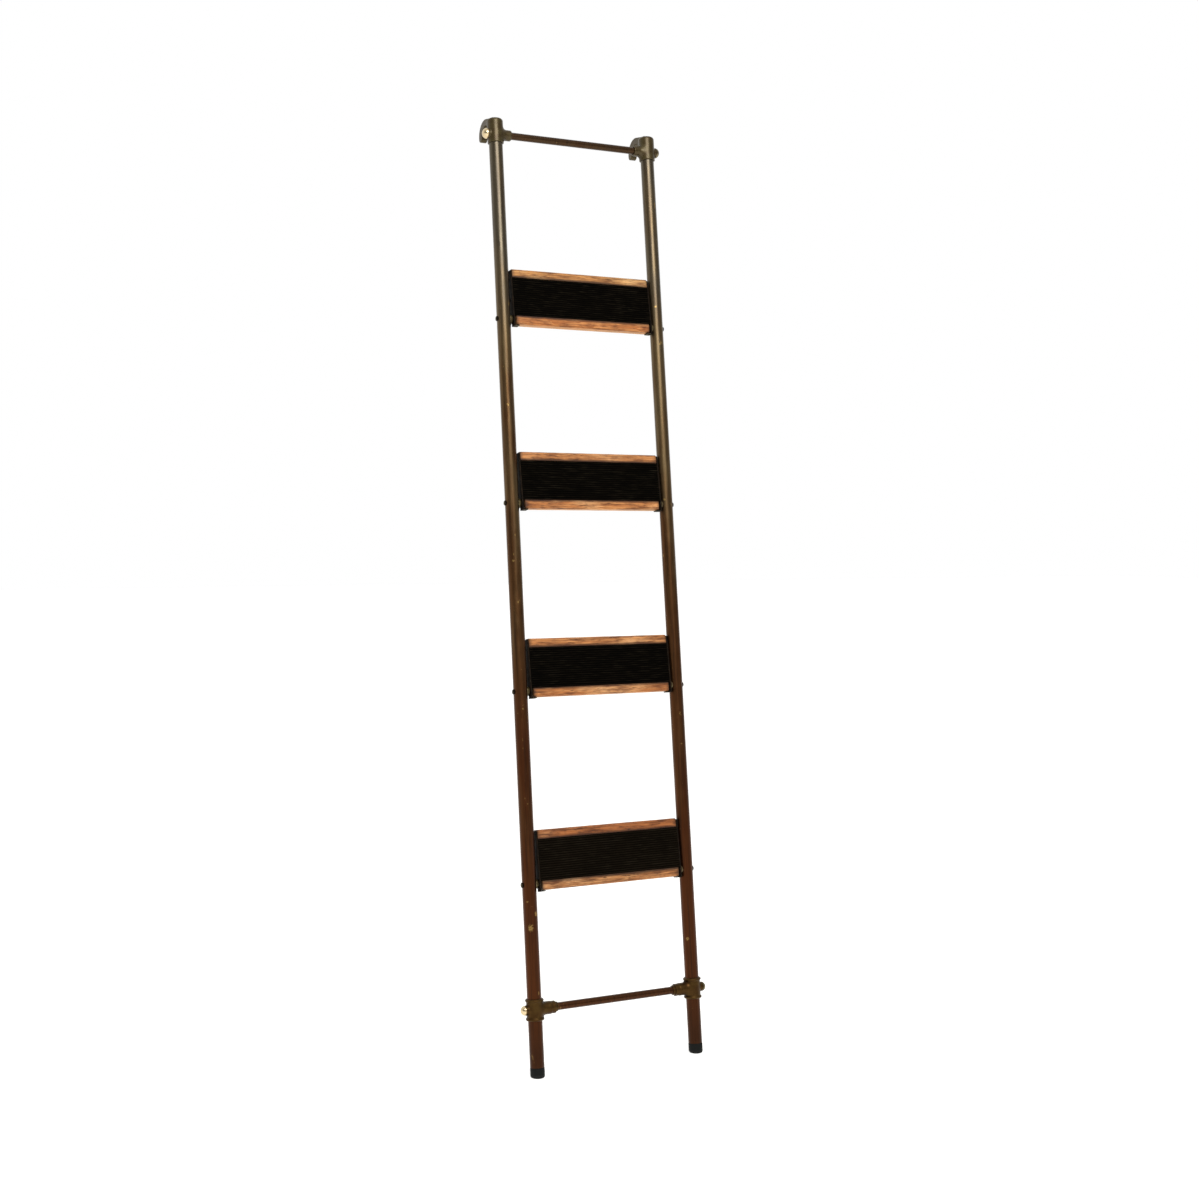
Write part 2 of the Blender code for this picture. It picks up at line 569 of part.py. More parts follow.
def build_saddle(index, label, side, frame):
    """The boss between a stile and a bracket, with the lug that the open step rests on."""
    name = f"step_{index}_saddle_{label}"
    root = TUBE_RADIUS / 2
    stile = (side * HALF_SPACING, 0, 0)
    mesh = cylinder_mesh(name, SADDLE_RADIUS, [(0, 0, root, SADDLE_END)])
    saddle = place(name, mesh, frame, stile, inward(side), "cast_bronze")
    offset = PLATE_BACK + LUG_RADIUS + FIT_GAP
    lug_y = LUG_REACH * math.sin(STEP_OPEN_ANGLE) + offset * math.cos(STEP_OPEN_ANGLE)
    lug_z = LUG_REACH * math.cos(STEP_OPEN_ANGLE) - offset * math.sin(STEP_OPEN_ANGLE)
    lug = cylinder_mesh(f"{name}_lug", LUG_RADIUS, [(0, 0, root, LUG_END)])
    lug_place = (stile[0], lug_y, lug_z)
    combine(saddle, place(lug.name, lug, frame, lug_place, inward(side)), "UNION")
    ends = sorted(side * (HALF_SPACING - inset) for inset in (root, SADDLE_END))
    web = box_mesh(f"{name}_web", (ends[0], -WEB_WIDTH / 2, -math.hypot(lug_y, lug_z)),
                   (ends[1], WEB_WIDTH / 2, 0))
    turn = math.atan2(lug_y, -lug_z)
    combine(saddle, place(web.name, web, frame, rotation=(turn, 0, 0)), "UNION")
    hole = cylinder_mesh(f"{name}_hole", BOLT_HOLE_RADIUS, [(0, 0, root - MM, SADDLE_END + MM)])
    combine(saddle, place(hole.name, hole, frame, stile, inward(side)), "DIFFERENCE")
    seat = cylinder_mesh(f"{name}_seat", TUBE_RADIUS + FIT_GAP,
                         [(0, 0, -3 * SADDLE_RADIUS, 3 * SADDLE_RADIUS)], TUBE_SEGMENTS)
    combine(saddle, place(seat.name, seat, frame, stile), "DIFFERENCE")


def build_step(index, height):
    """One folding step: what is fixed to the stiles, and what turns on the pivot bolts."""
    fixed = new_empty(f"step_{index}_fixed_frame", LADDER, (0, 0, height))
    turning = new_empty(f"step_{index}_pivot", LADDER, (0, 0, height), (-STEP_TILT, 0, 0))
    for label, side in SIDES.items():
        build_saddle(index, label, side, fixed)
        build_pivot_bolt(index, label, side, fixed)
        build_pivot_nut(index, label, side, fixed)
        build_bracket(index, label, side, turning)
    build_board(index, turning)
    half = HALF_SPACING - BOARD_INSET
    plate(f"step_{index}_mat", mat_outline(), 2 * half, turning, finish="black_rubber")


def build_ladder():
    """Every sub-part of the ladder."""
    top_seat = (TOP_ROD_HEIGHT, TOP_PAD_REACH, TOP_ROD_START)
    bottom_seat = (BOTTOM_ROD_HEIGHT, BOTTOM_PAD_REACH, BOTTOM_ROD_START)
    for label, side in SIDES.items():
        build_stile(label, side)
        build_foot(label, side)
        build_top_fitting(label, side)
        build_bottom_tee(label, side)
        build_rod_screw("top", label, side, top_seat, (TOP_DOME_RADIUS, TOP_DOME_HEIGHT))
        build_rod_screw("bottom", label, side, bottom_seat,
                        (BOTTOM_DOME_RADIUS, BOTTOM_DOME_HEIGHT))
    build_tie_rod("top", TOP_ROD_HEIGHT, TOP_ROD_START)
    build_tie_rod("bottom", BOTTOM_ROD_HEIGHT, BOTTOM_ROD_START)
    for index, height in enumerate(PIVOT_HEIGHTS, start=1):
        build_step(index, height)


clear_scene()
PIVOT_HEIGHTS = [FIRST_PIVOT_HEIGHT + i * STEP_PITCH for i in range(STEP_COUNT)]
PARTS = new_collection("ladder_shelf")
TOOLS = new_collection("cutters")
LADDER = new_empty("ladder_frame", location=(0, FOOT_LINE_Y, 0), rotation=(-LEAN, 0, 0))
build_ladder()
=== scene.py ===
"""Looks of the leaning ladder shelf: cast fittings, patinated tubes, wooden steps, ribbed mats.

Every piece is a closed surface worked out with numpy in the ladder's own frame (X across, Y
backward, Z up along the stiles) or in a step's own frame (origin on its pivot), and is then
placed in the row frame, in metres. A stile's own frame measures E from its axis towards the
middle of the ladder. Cast and bent pieces are skins of signed distance fields, so that their
fillets flow into each other; the other pieces are profiles carried round an axis, or sheets
over a grid.
"""

from __future__ import annotations

import json
import logging
import math
from collections.abc import Callable
from dataclasses import dataclass
from enum import Enum
from functools import cache

import bpy
import numpy as np
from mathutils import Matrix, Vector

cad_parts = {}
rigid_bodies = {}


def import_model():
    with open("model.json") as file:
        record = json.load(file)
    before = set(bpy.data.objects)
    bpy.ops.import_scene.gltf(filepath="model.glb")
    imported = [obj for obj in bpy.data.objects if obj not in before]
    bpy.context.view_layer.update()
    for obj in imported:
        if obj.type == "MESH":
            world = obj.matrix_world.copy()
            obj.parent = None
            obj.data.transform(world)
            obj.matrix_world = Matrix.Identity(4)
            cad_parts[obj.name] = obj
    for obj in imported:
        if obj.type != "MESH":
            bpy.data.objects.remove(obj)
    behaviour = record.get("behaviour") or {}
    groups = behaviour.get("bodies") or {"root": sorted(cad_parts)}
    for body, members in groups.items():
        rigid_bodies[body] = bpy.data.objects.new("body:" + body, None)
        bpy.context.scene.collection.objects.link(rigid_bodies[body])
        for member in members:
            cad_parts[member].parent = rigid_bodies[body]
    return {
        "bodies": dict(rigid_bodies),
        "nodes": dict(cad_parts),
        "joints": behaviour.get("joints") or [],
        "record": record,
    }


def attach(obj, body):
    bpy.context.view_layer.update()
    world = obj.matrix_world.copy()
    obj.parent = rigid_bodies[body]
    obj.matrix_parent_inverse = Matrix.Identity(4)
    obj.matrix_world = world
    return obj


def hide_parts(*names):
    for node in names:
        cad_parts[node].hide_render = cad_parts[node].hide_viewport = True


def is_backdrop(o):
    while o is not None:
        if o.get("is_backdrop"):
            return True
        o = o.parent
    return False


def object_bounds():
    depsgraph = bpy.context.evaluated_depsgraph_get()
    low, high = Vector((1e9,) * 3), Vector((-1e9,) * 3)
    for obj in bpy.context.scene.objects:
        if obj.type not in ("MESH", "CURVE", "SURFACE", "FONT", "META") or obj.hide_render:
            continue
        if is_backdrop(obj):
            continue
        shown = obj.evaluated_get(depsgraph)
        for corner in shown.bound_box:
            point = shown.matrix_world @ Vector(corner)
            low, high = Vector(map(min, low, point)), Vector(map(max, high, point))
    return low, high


LOG = logging.getLogger("ladder_shelf")
MM = 0.001
Array = np.ndarray
Colour = tuple[float, float, float]
Point = tuple[float, float, float]
Span = tuple[float, float]
Feed = dict[str | int, object]
Field = Callable[[Array], Array]
FLOAT = "NodeSocketFloat"
VECTOR = "NodeSocketVector"


class Side(Enum):
    """The two stiles, with the sign of X that each stands at."""

    LEFT = -1
    RIGHT = 1

    @property
    def label(self) -> str:
        """The side's word in piece and node names."""
        return self.name.lower()


class Level(Enum):
    """The two tie rods."""

    TOP = "top"
    BOTTOM = "bottom"


# ---------------------------------------------------------------- frames


@dataclass(frozen=True)
class Placing:
    """A lean about the X axis followed by a shift, from a piece's frame to the row frame."""

    lean: float
    origin: Point

    def place(self, points: Array) -> Array:
        """Place points in the row frame: Y and Z are turned by the lean, then shifted.

        Args:
            points: Points in the piece's frame, with the coordinates on the last axis.

        Returns:
            The same points in the row frame.
        """
        cos, sin = math.cos(self.lean), math.sin(self.lean)
        x, y, z = np.moveaxis(points, -1, 0)
        return np.stack([x, y * cos + z * sin, z * cos - y * sin], axis=-1) + self.origin


@dataclass(frozen=True)
class LadderFrame:
    """Where the ladder's parts are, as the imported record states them."""

    lean: float
    foot_line: float
    half_spacing: float
    step_tilt: float
    pivots: tuple[float, ...]
    bodies: tuple[str, ...]

    @classmethod
    def read(cls, frame: dict) -> LadderFrame:
        """Work the ladder's frame out from its joints and mounts.


        Returns:
            The lean of the stiles, the line of the feet, and the pivots along the stiles.
        """
        joints = frame["joints"]
        mounts = {mount["name"]: mount for mount in frame["record"]["mounts"]}
        sole = mounts["sole_left"]["pos_m"]
        first, last = joints[0]["pos_m"], joints[-1]["pos_m"]
        lean = math.atan2(last[1] - first[1], last[2] - first[2])
        face = mounts["step_1_tread_face"]["axis"]
        pivots = tuple(math.hypot(j["pos_m"][1] - sole[1], j["pos_m"][2]) for j in joints)
        bodies = tuple(joint["child"] for joint in joints)
        return cls(lean, sole[1], abs(sole[0]), math.atan2(face[2], -face[1]) - lean, pivots,
                   bodies)

    @property
    def root(self) -> Placing:
        """The ladder's own frame, with its origin between the feet."""
        return Placing(self.lean, (0.0, self.foot_line, 0.0))

    def pivot_point(self, index: int) -> Point:
        """The middle of a step's pivot line in the row frame."""
        x, y, z = self.root.place(np.array([0.0, 0.0, self.pivots[index]]))
        return float(x), float(y), float(z)

    def fixed_step(self, index: int) -> Placing:
        """The frame on a step's pivot that leans with the stiles."""
        return Placing(self.lean, self.pivot_point(index))

    def turning_step(self, index: int) -> Placing:
        """The frame on a step's pivot that turns with the step."""
        return Placing(self.lean + self.step_tilt, self.pivot_point(index))


# ---------------------------------------------------------------- surfaces


@dataclass
class Skin:
    """A closed surface: its points, its faces, and two masks that its finish may read.

    `edge` is 1 on sharp convex edges, `hollow` is 1 in tight corners. Every face array holds
    the corners of faces with the same number of corners.
    """

    points: Array
    faces: list[Array]
    edge: Array | None = None
    hollow: Array | None = None

    def moved(self, change: Callable[[Array], Array], flip: bool = False) -> Skin:
        """A copy whose points went through a change; a mirroring change also flips the faces."""
        faces = [group[:, ::-1] for group in self.faces] if flip else self.faces
        return Skin(change(self.points), faces, self.edge, self.hollow)


def grid_faces(rows: int, columns: int, wrap: bool, start: int = 0) -> Array:
    """Quads over a grid of points stored row by row.

    Args:
        rows: Number of rows.
        columns: Number of points in each row.
        wrap: Whether each row closes on itself.
        start: Index of the grid's first point.

    Returns:
        The corners of each quad. A quad faces along (step in the row) x (step to the next row).
    """
    row = np.arange(rows - 1)[:, None]
    column = np.arange(columns if wrap else columns - 1)[None, :]
    after = (column + 1) % columns
    corners = [row * columns + column, row * columns + after,
               (row + 1) * columns + after, (row + 1) * columns + column]
    return np.stack(corners, axis=-1).reshape(-1, 4) + start


def turned(profile: Array, columns: int) -> Skin:
    """Carry a profile round the Z axis; its first and last points close on the axis.

    The point at angle a and profile place s is (r(s) cos a, r(s) sin a, z(s)).

    Args:
        profile: Points of radius and height, from the lower end of the axis up to the upper.
        columns: Number of steps round the axis.

    Returns:
        The closed surface, facing away from the axis.
    """
    angle = np.arange(columns) * (2 * math.pi / columns)
    radius, height = profile[1:-1, 0, None], profile[1:-1, 1, None]
    rings = np.stack([radius * np.cos(angle), radius * np.sin(angle),
                      height + 0 * angle], axis=-1)
    poles = np.array([[0, 0, profile[0, 1]], [0, 0, profile[-1, 1]]])
    points = np.concatenate([rings.reshape(-1, 3), poles])
    rows = len(profile) - 2
    here = np.arange(columns)
    after = (here + 1) % columns
    low, high = rows * columns, rows * columns + 1
    top = (rows - 1) * columns
    fans = np.concatenate([np.stack([after, here, here * 0 + low], axis=-1),
                           np.stack([top + here, top + after, here * 0 + high], axis=-1)])
    return Skin(points, [grid_faces(rows, columns, True), fans])


def ring_turned(profile: Array, columns: int, shape: Callable[[Array, Array], Array]) -> Skin:
    """Carry a closed profile round the Z axis, such as the wall of a tube.

    Args:
        profile: Points of radius and height, up the outside and down the inside.
        columns: Number of steps round the axis.
        shape: What the radius becomes, as a function of the ring points' angle and height.

    Returns:
        The closed surface, facing away from the wall.
    """
    angle = np.arange(columns)[None, :] * (2 * math.pi / columns)
    closed = np.concatenate([profile, profile[:1]])
    height = profile[:, 1, None] + 0 * angle
    radius = profile[:, 0, None] + shape(angle, height)
    points = np.stack([radius * np.cos(angle), radius * np.sin(angle), height], axis=-1)
    faces = grid_faces(len(closed), columns, True) % (len(profile) * columns)
    return Skin(points.reshape(-1, 3), [faces])


def slab(front: Array, back: Array) -> Skin:
    """Close two sheets over the same grid, front and back, into one board.

    Args:
        front: Points of the front sheet, rows by columns by 3, columns to +X and rows up.
        back: The matching points of the back sheet.

    Returns:
        The closed surface; its rim is a strip of quads between the sheets' borders.
    """
    rows, columns = front.shape[:2]
    count = rows * columns
    index = np.arange(count).reshape(rows, columns)
    rim = np.concatenate([index[0, :-1], index[:-1, -1], index[-1, :0:-1], index[:0:-1, 0]])
    after = np.roll(rim, -1)
    strip = np.stack([after, rim, rim + count, after + count], axis=-1)
    faces = [grid_faces(rows, columns, False),
             grid_faces(rows, columns, False, count)[:, ::-1], strip]
    return Skin(np.concatenate([front.reshape(-1, 3), back.reshape(-1, 3)]), faces)


def net(distance: Field, low: Point, high: Point, pitch: float, form: Field | None = None,
        reach: float = 2.4 * MM) -> Skin:
    """Skin a solid that is given by its signed distance.

    The distance is worked out on a lattice. Each lattice cell that the surface crosses holds
    one point, the mean of the crossings on its edges, and each crossed lattice edge is the
    middle of one quad. The points then move along the distance's gradient onto the surface.

    Args:
        distance: Signed distance of points, negative inside.
        low: Lowest corner of the solid's box.
        high: Highest corner of the solid's box.
        pitch: Lattice pitch.
        form: Signed distance without the bores, on which edges and corners are felt.
        reach: Depth at which they are felt.

    Returns:
        The closed surface with its edge and hollow masks.
    """
    ticks = [np.arange(a - 1.6 * pitch, b + 2.6 * pitch, pitch) for a, b in zip(low, high)]
    lattice = np.stack(np.meshgrid(*ticks, indexing="ij"), axis=-1)
    field = distance(lattice)
    inside = field < 0
    cells = tuple(n - 1 for n in field.shape)
    total = np.zeros((*cells, 3))
    count = np.zeros(cells)
    crossings = []
    for axis in range(3):
        ahead = tuple(slice(1, None) if k == axis else slice(None) for k in range(3))
        behind = tuple(slice(None, -1) if k == axis else slice(None) for k in range(3))
        crossed = inside[behind] != inside[ahead]
        gap = np.where(crossed, field[behind] - field[ahead], 1.0)
        share = np.where(crossed, field[behind] / gap, 0.0)
        spot = lattice[behind].copy()
        spot[..., axis] += share * pitch
        crossings.append((crossed, inside[behind]))
        others = [k for k in range(3) if k != axis]
        for corner in ((0, 0), (0, 1), (1, 0), (1, 1)):
            part = [slice(None)] * 3
            for k, shift in zip(others, corner):
                part[k] = slice(shift, shift + cells[k])
            near = crossed[tuple(part)]
            total += np.where(near[..., None], spot[tuple(part)], 0.0)
            count += near
    used = count > 0
    number = np.cumsum(used.ravel()).reshape(cells) - 1
    points = total[used] / count[used][:, None]
    faces = [_net_faces(*crossing, axis, number) for axis, crossing in enumerate(crossings)]
    skin = _settled(points, np.concatenate(faces), distance, pitch)
    return _masked(skin, form or distance, pitch, reach)


def _net_faces(crossed: Array, solid_behind: Array, axis: int, number: Array) -> Array:
    """Quads round the crossed lattice edges of one axis.

    Args:
        crossed: Which lattice edges the surface crosses.
        solid_behind: Which lattice edges start inside the solid.
        axis: The direction of these edges.
        number: Index of each cell's point.

    Returns:
        The corners of each quad, facing out of the solid.
    """
    first, second = [k for k in range(3) if k != axis]
    inner = [slice(None)] * 3
    inner[first] = inner[second] = slice(1, -1)
    edges = np.argwhere(crossed[tuple(inner)])
    solid = solid_behind[tuple(inner)][tuple(edges.T)]
    corners = []
    for shift in ((0, 0), (1, 0), (1, 1), (0, 1)):
        cell = edges.copy()
        cell[:, first] += shift[0]
        cell[:, second] += shift[1]
        corners.append(number[tuple(cell.T)])
    quads = np.stack(corners, axis=-1)
    forward = solid if axis != 1 else ~solid
    return np.where(forward[:, None], quads, quads[:, ::-1])


def _way(points: Array, distance: Field, pitch: float) -> Array:
    """The unit gradient of a distance, from differences over a fifth of the pitch.

    Args:
        points: Where it is wanted.
        distance: Signed distance of points.
        pitch: Lattice pitch.

    Returns:
        One unit vector for each point.
    """
    nudge = 0.2 * pitch
    slope = np.stack([distance(points + nudge * way) - distance(points - nudge * way)
                      for way in np.eye(3)], axis=-1)
    return slope / np.maximum(np.linalg.norm(slope, axis=-1, keepdims=True), 1e-9)


def _settled(points: Array, faces: Array, distance: Field, pitch: float) -> Skin:
    """Move points onto the surface: by -f(p) along the unit gradient of f, three times.

    Args:
        points: Points close to the surface.
        faces: Quads between them.
        distance: Signed distance of points.
        pitch: Lattice pitch.

    Returns:
        The settled skin.
    """
    for _ in range(3):
        away = np.clip(distance(points), -0.4 * pitch, 0.4 * pitch)
        points = points - away[:, None] * _way(points, distance, pitch)
    return Skin(points, [faces])


def _masked(skin: Skin, form: Field, pitch: float, reach: float) -> Skin:
    """Feel for edges and corners.

    The edge mask compares the depth found `reach` under the form's surface with `reach`,
    and the hollow mask compares the distance found `reach` above it.

    Args:
        skin: The skin.
        form: Signed distance of the form.
        pitch: Lattice pitch.
        reach: Depth at which edges and corners are felt.

    Returns:
        The skin with its masks.
    """
    out = _way(skin.points, form, pitch)
    depth = form(skin.points)
    skin.edge = np.clip(1 + (form(skin.points - reach * out) - depth) / reach, 0, 1)
    skin.hollow = np.clip(1 - (form(skin.points + reach * out) - depth) / reach, 0, 1)
    inner = np.clip(-depth / (1 * MM), 0, 1)
    skin.hollow = np.maximum(skin.hollow, inner)
    return skin


# ---------------------------------------------------------------- signed distances


def rod(points: Array, axis: int, centre: Point, radius: float, low: float, high: float,
        corner: float = 0.0) -> Array:
    """Signed distance to a round bar along an axis, with rounded end corners.

    Args:
        points: Points to measure from.
        axis: The bar's axis, 0 to 2.
        centre: A point on the bar's axis line.
        radius: Radius of the bar.
        low: Where the bar starts on its axis.
        high: Where the bar ends.
        corner: Radius of the rounding between side and ends.

    Returns:
        The distances.
    """
    across = [k for k in range(3) if k != axis]
    out = np.hypot(points[..., across[0]] - centre[across[0]],
                   points[..., across[1]] - centre[across[1]]) - radius
    along = np.abs(points[..., axis] - (low + high) / 2) - (high - low) / 2
    return rounded(out, along, corner)


def rounded(first: Array, second: Array, corner: float) -> Array:
    """The overlap of two solids with the edge between them rounded by a corner radius."""
    first, second = first + corner, second + corner
    outside = np.hypot(np.maximum(first, 0), np.maximum(second, 0))
    return outside + np.minimum(np.maximum(first, second), 0) - corner


def box2(first: Array, second: Array, low: Span, high: Span, corner: float = 0.0) -> Array:
    """Signed distance to a rectangle with rounded corners, in two coordinates."""
    one = np.abs(first - (low[0] + high[0]) / 2) - (high[0] - low[0]) / 2
    two = np.abs(second - (low[1] + high[1]) / 2) - (high[1] - low[1]) / 2
    return rounded(one, two, corner)


def merged(first: Array, second: Array, fillet: float) -> Array:
    """Two solids joined, with a fillet of about the given radius where they meet."""
    near = np.maximum(fillet - np.abs(first - second), 0) / fillet
    return np.minimum(first, second) - near * near * fillet / 4


# ---------------------------------------------------------------- shader building


class Nodes:
    """Adds and links shader nodes in one tree, so that a finish reads as a recipe."""

    def __init__(self, tree: bpy.types.NodeTree) -> None:
        """Work in a material's or a group's tree."""
        self.tree = tree

    def give(self, socket: bpy.types.NodeSocket, value: object) -> None:
        """Link another socket to this one, or set it to a constant value.

        Args:
            socket: The input.
            value: The other socket, or the constant.
        """
        if isinstance(value, bpy.types.NodeSocket):
            self.tree.links.new(value, socket)
        else:
            socket.default_value = value

    def add(self, kind: str, feed: Feed | None = None, **settings: object) -> bpy.types.Node:
        """Add a node, set its properties, and feed its inputs.

        Args:
            kind: Blender's name of the node type.
            feed: Input name or index to a value, or to the socket that drives it.
            **settings: Properties of the node itself.

        Returns:
            The node.
        """
        node = self.tree.nodes.new(kind)
        for key, value in settings.items():
            setattr(node, key, value)
        for key, value in (feed or {}).items():
            self.give(node.inputs[key], value)
        return node

    def noise(self, place: object, scale: float, detail: float = 4.0,
              roughness: float = 0.55) -> bpy.types.NodeSocket:
        """Fractal noise from 0 to 1 at a place."""
        feed = {"Vector": place, "Scale": scale, "Detail": detail, "Roughness": roughness}
        return self.add("ShaderNodeTexNoise", feed).outputs["Fac"]

    def stretched(self, place: object, scale: object) -> bpy.types.NodeSocket:
        """A place, or a colour, with each of its three parts multiplied by its own scale."""
        feed = {0: place, 1: scale}
        return self.add("ShaderNodeVectorMath", feed, operation="MULTIPLY").outputs[0]

    def remap(self, value: object, low: float, high: float, start: float = 0.0,
              end: float = 1.0) -> bpy.types.NodeSocket:
        """A value between low and high, stretched to start and end, and clamped there."""
        feed = {"Value": value, "From Min": low, "From Max": high, "To Min": start,
                "To Max": end}
        return self.add("ShaderNodeMapRange", feed).outputs["Result"]

    def maths(self, operation: str, first: object, second: object) -> bpy.types.NodeSocket:
        """One step of arithmetic; an operation on one value reads only the first."""
        feed = {0: first, 1: second}
        return self.add("ShaderNodeMath", feed, operation=operation).outputs[0]

    def blend(self, mask: object, first: object, second: object) -> bpy.types.NodeSocket:
        """Mix two colours.

        Args:
            mask: 0 for the first colour and 1 for the second.
            first: A colour, or a socket that gives one.
            second: The other colour or socket.

        Returns:
            The mixed colour.
        """
        def wide(value: object) -> object:
            """A constant colour with an alpha of 1; a socket stays as it is."""
            return (*value, 1.0) if isinstance(value, tuple) else value

        feed = {0: mask, 6: wide(first), 7: wide(second)}
        return self.add("ShaderNodeMix", feed, data_type="RGBA").outputs[2]

    def group(self, tree: bpy.types.NodeTree, feed: Feed) -> bpy.types.Node:
        """Place a shared effect with its own values."""
        return self.add("ShaderNodeGroup", feed, node_tree=tree)


def new_group(name: str, inputs: dict[str, tuple[str, object]], outputs: dict[str, str]
              ) -> tuple[Nodes, bpy.types.Node, bpy.types.Node]:
    """Start a shared effect.

    Args:
        name: The effect's name.
        inputs: Input name to its kind of socket and its usual value.
        outputs: Output name to its kind of socket.

    Returns:
        The group's node builder, its input node and its output node.
    """
    tree = bpy.data.node_groups.new(name, "ShaderNodeTree")
    for key, (kind, usual) in inputs.items():
        socket = tree.interface.new_socket(key, in_out="INPUT", socket_type=kind)
        if usual is not None:
            socket.default_value = usual
    for key, kind in outputs.items():
        tree.interface.new_socket(key, in_out="OUTPUT", socket_type=kind)
    made = Nodes(tree)
    return made, made.add("NodeGroupInput"), made.add("NodeGroupOutput")


@cache
def patches() -> bpy.types.NodeTree:
    """Blotches with soft borders: large noise with its border broken up by finer noise."""
    inputs = {"Place": (VECTOR, None), "Scale": (FLOAT, 30.0), "Amount": (FLOAT, 0.5),
              "Softness": (FLOAT, 0.1)}
    made, given, out = new_group("patches", inputs, {"Mask": FLOAT})
    place = given.outputs["Place"]
    broad = made.add("ShaderNodeTexNoise", {"Vector": place, "Scale": given.outputs["Scale"],
                                            "Detail": 5.0, "Roughness": 0.62})
    limit = made.maths("SUBTRACT", 1.0, given.outputs["Amount"])
    above = made.maths("SUBTRACT", broad.outputs["Fac"], limit)
    share = made.maths("DIVIDE", above, given.outputs["Softness"])
    made.tree.links.new(made.remap(share, -0.5, 0.5), out.inputs["Mask"])
    return made.tree


@cache
def bared_edges() -> bpy.types.NodeTree:
    """Wear along edges: the edge mask, raised and cut away by noise so that it is uneven."""
    inputs = {"Place": (VECTOR, None), "Edge": (FLOAT, 0.0), "Amount": (FLOAT, 0.5),
              "Scale": (FLOAT, 120.0)}
    made, given, out = new_group("bared_edges", inputs, {"Mask": FLOAT})
    feed = {"Vector": given.outputs["Place"], "Scale": given.outputs["Scale"], "Detail": 4.0,
            "Roughness": 0.6}
    uneven = made.add("ShaderNodeTexNoise", feed).outputs["Fac"]
    raised = made.maths("ADD", given.outputs["Edge"], made.remap(uneven, 0.3, 0.7, -0.4, 0.25))
    limit = made.maths("SUBTRACT", 1.0, given.outputs["Amount"])
    mask = made.remap(made.maths("SUBTRACT", raised, limit), 0.0, 0.35)
    made.tree.links.new(mask, out.inputs["Mask"])
    return made.tree


@cache
def handling() -> bpy.types.NodeTree:
    """Marks of years of use: fine scratches, small pits, and smudges that change the gloss."""
    inputs = {"Place": (VECTOR, None), "Grip": (FLOAT, 0.1)}
    outputs = {"Gloss": FLOAT, "Height": FLOAT}
    made, given, out = new_group("handling", inputs, outputs)
    place = given.outputs["Place"]
    smudge = made.remap(made.noise(place, 28.0, 3.0), 0.3, 0.7, -1.0, 1.0)
    gloss = made.maths("MULTIPLY", smudge, given.outputs["Grip"])
    pits = made.remap(made.noise(place, 900.0, 2.0), 0.62, 0.75, 1.0, 0.0)
    cuts = made.remap(made.noise(made.stretched(place, (2600.0, 2600.0, 60.0)), 1.0, 1.0),
                      0.68, 0.74, 1.0, 0.6)
    height = made.maths("MULTIPLY", pits, cuts)
    made.tree.links.new(gloss, out.inputs["Gloss"])
    made.tree.links.new(height, out.inputs["Height"])
    return made.tree


@cache
def wood_figure() -> bpy.types.NodeTree:
    """Straight-grained wood along X: growth rings about a far heart, fibres and open pores.

    The rings are a sawtooth of the distance from an axis along X, bent by slow noise. Fibres
    and pores are noise that is stretched along X.
    """
    inputs = {"Place": (VECTOR, None), "Heart": (FLOAT, 0.06)}
    outputs = {"Ring": FLOAT, "Fibre": FLOAT, "Pore": FLOAT, "Cloud": FLOAT, "Band": FLOAT}
    made, given, out = new_group("wood_figure", inputs, outputs)
    place = given.outputs["Place"]
    slow = made.noise(made.stretched(place, (5.0, 30.0, 30.0)), 1.0, 3.0)
    split = made.add("ShaderNodeSeparateXYZ", {0: place})
    depth = made.maths("ADD", split.outputs["Y"], given.outputs["Heart"])
    bent = made.maths("ADD", depth, made.remap(slow, 0.0, 1.0, -0.012, 0.012))
    square = made.maths("MULTIPLY", bent, bent)
    aside = made.maths("MULTIPLY", split.outputs["Z"], split.outputs["Z"])
    distance = made.maths("SQRT", made.maths("ADD", square, aside), 0.0)
    ring = made.maths("FRACT", made.maths("MULTIPLY", distance, 310.0), 0.0)
    fibre = made.noise(made.stretched(place, (14.0, 700.0, 700.0)), 1.0, 5.0, 0.6)
    pore = made.remap(made.noise(made.stretched(place, (80.0, 720.0, 720.0)), 1.0, 3.0),
                      0.58, 0.68)
    cloud = made.noise(made.stretched(place, (9.0, 26.0, 26.0)), 1.0, 4.0)
    band = made.noise(made.stretched(place, (24.0, 210.0, 210.0)), 1.0, 5.0, 0.7)
    found = {"Ring": ring, "Fibre": fibre, "Pore": pore, "Cloud": cloud, "Band": band}
    for key, value in found.items():
        made.tree.links.new(value, out.inputs[key])
    return made.tree


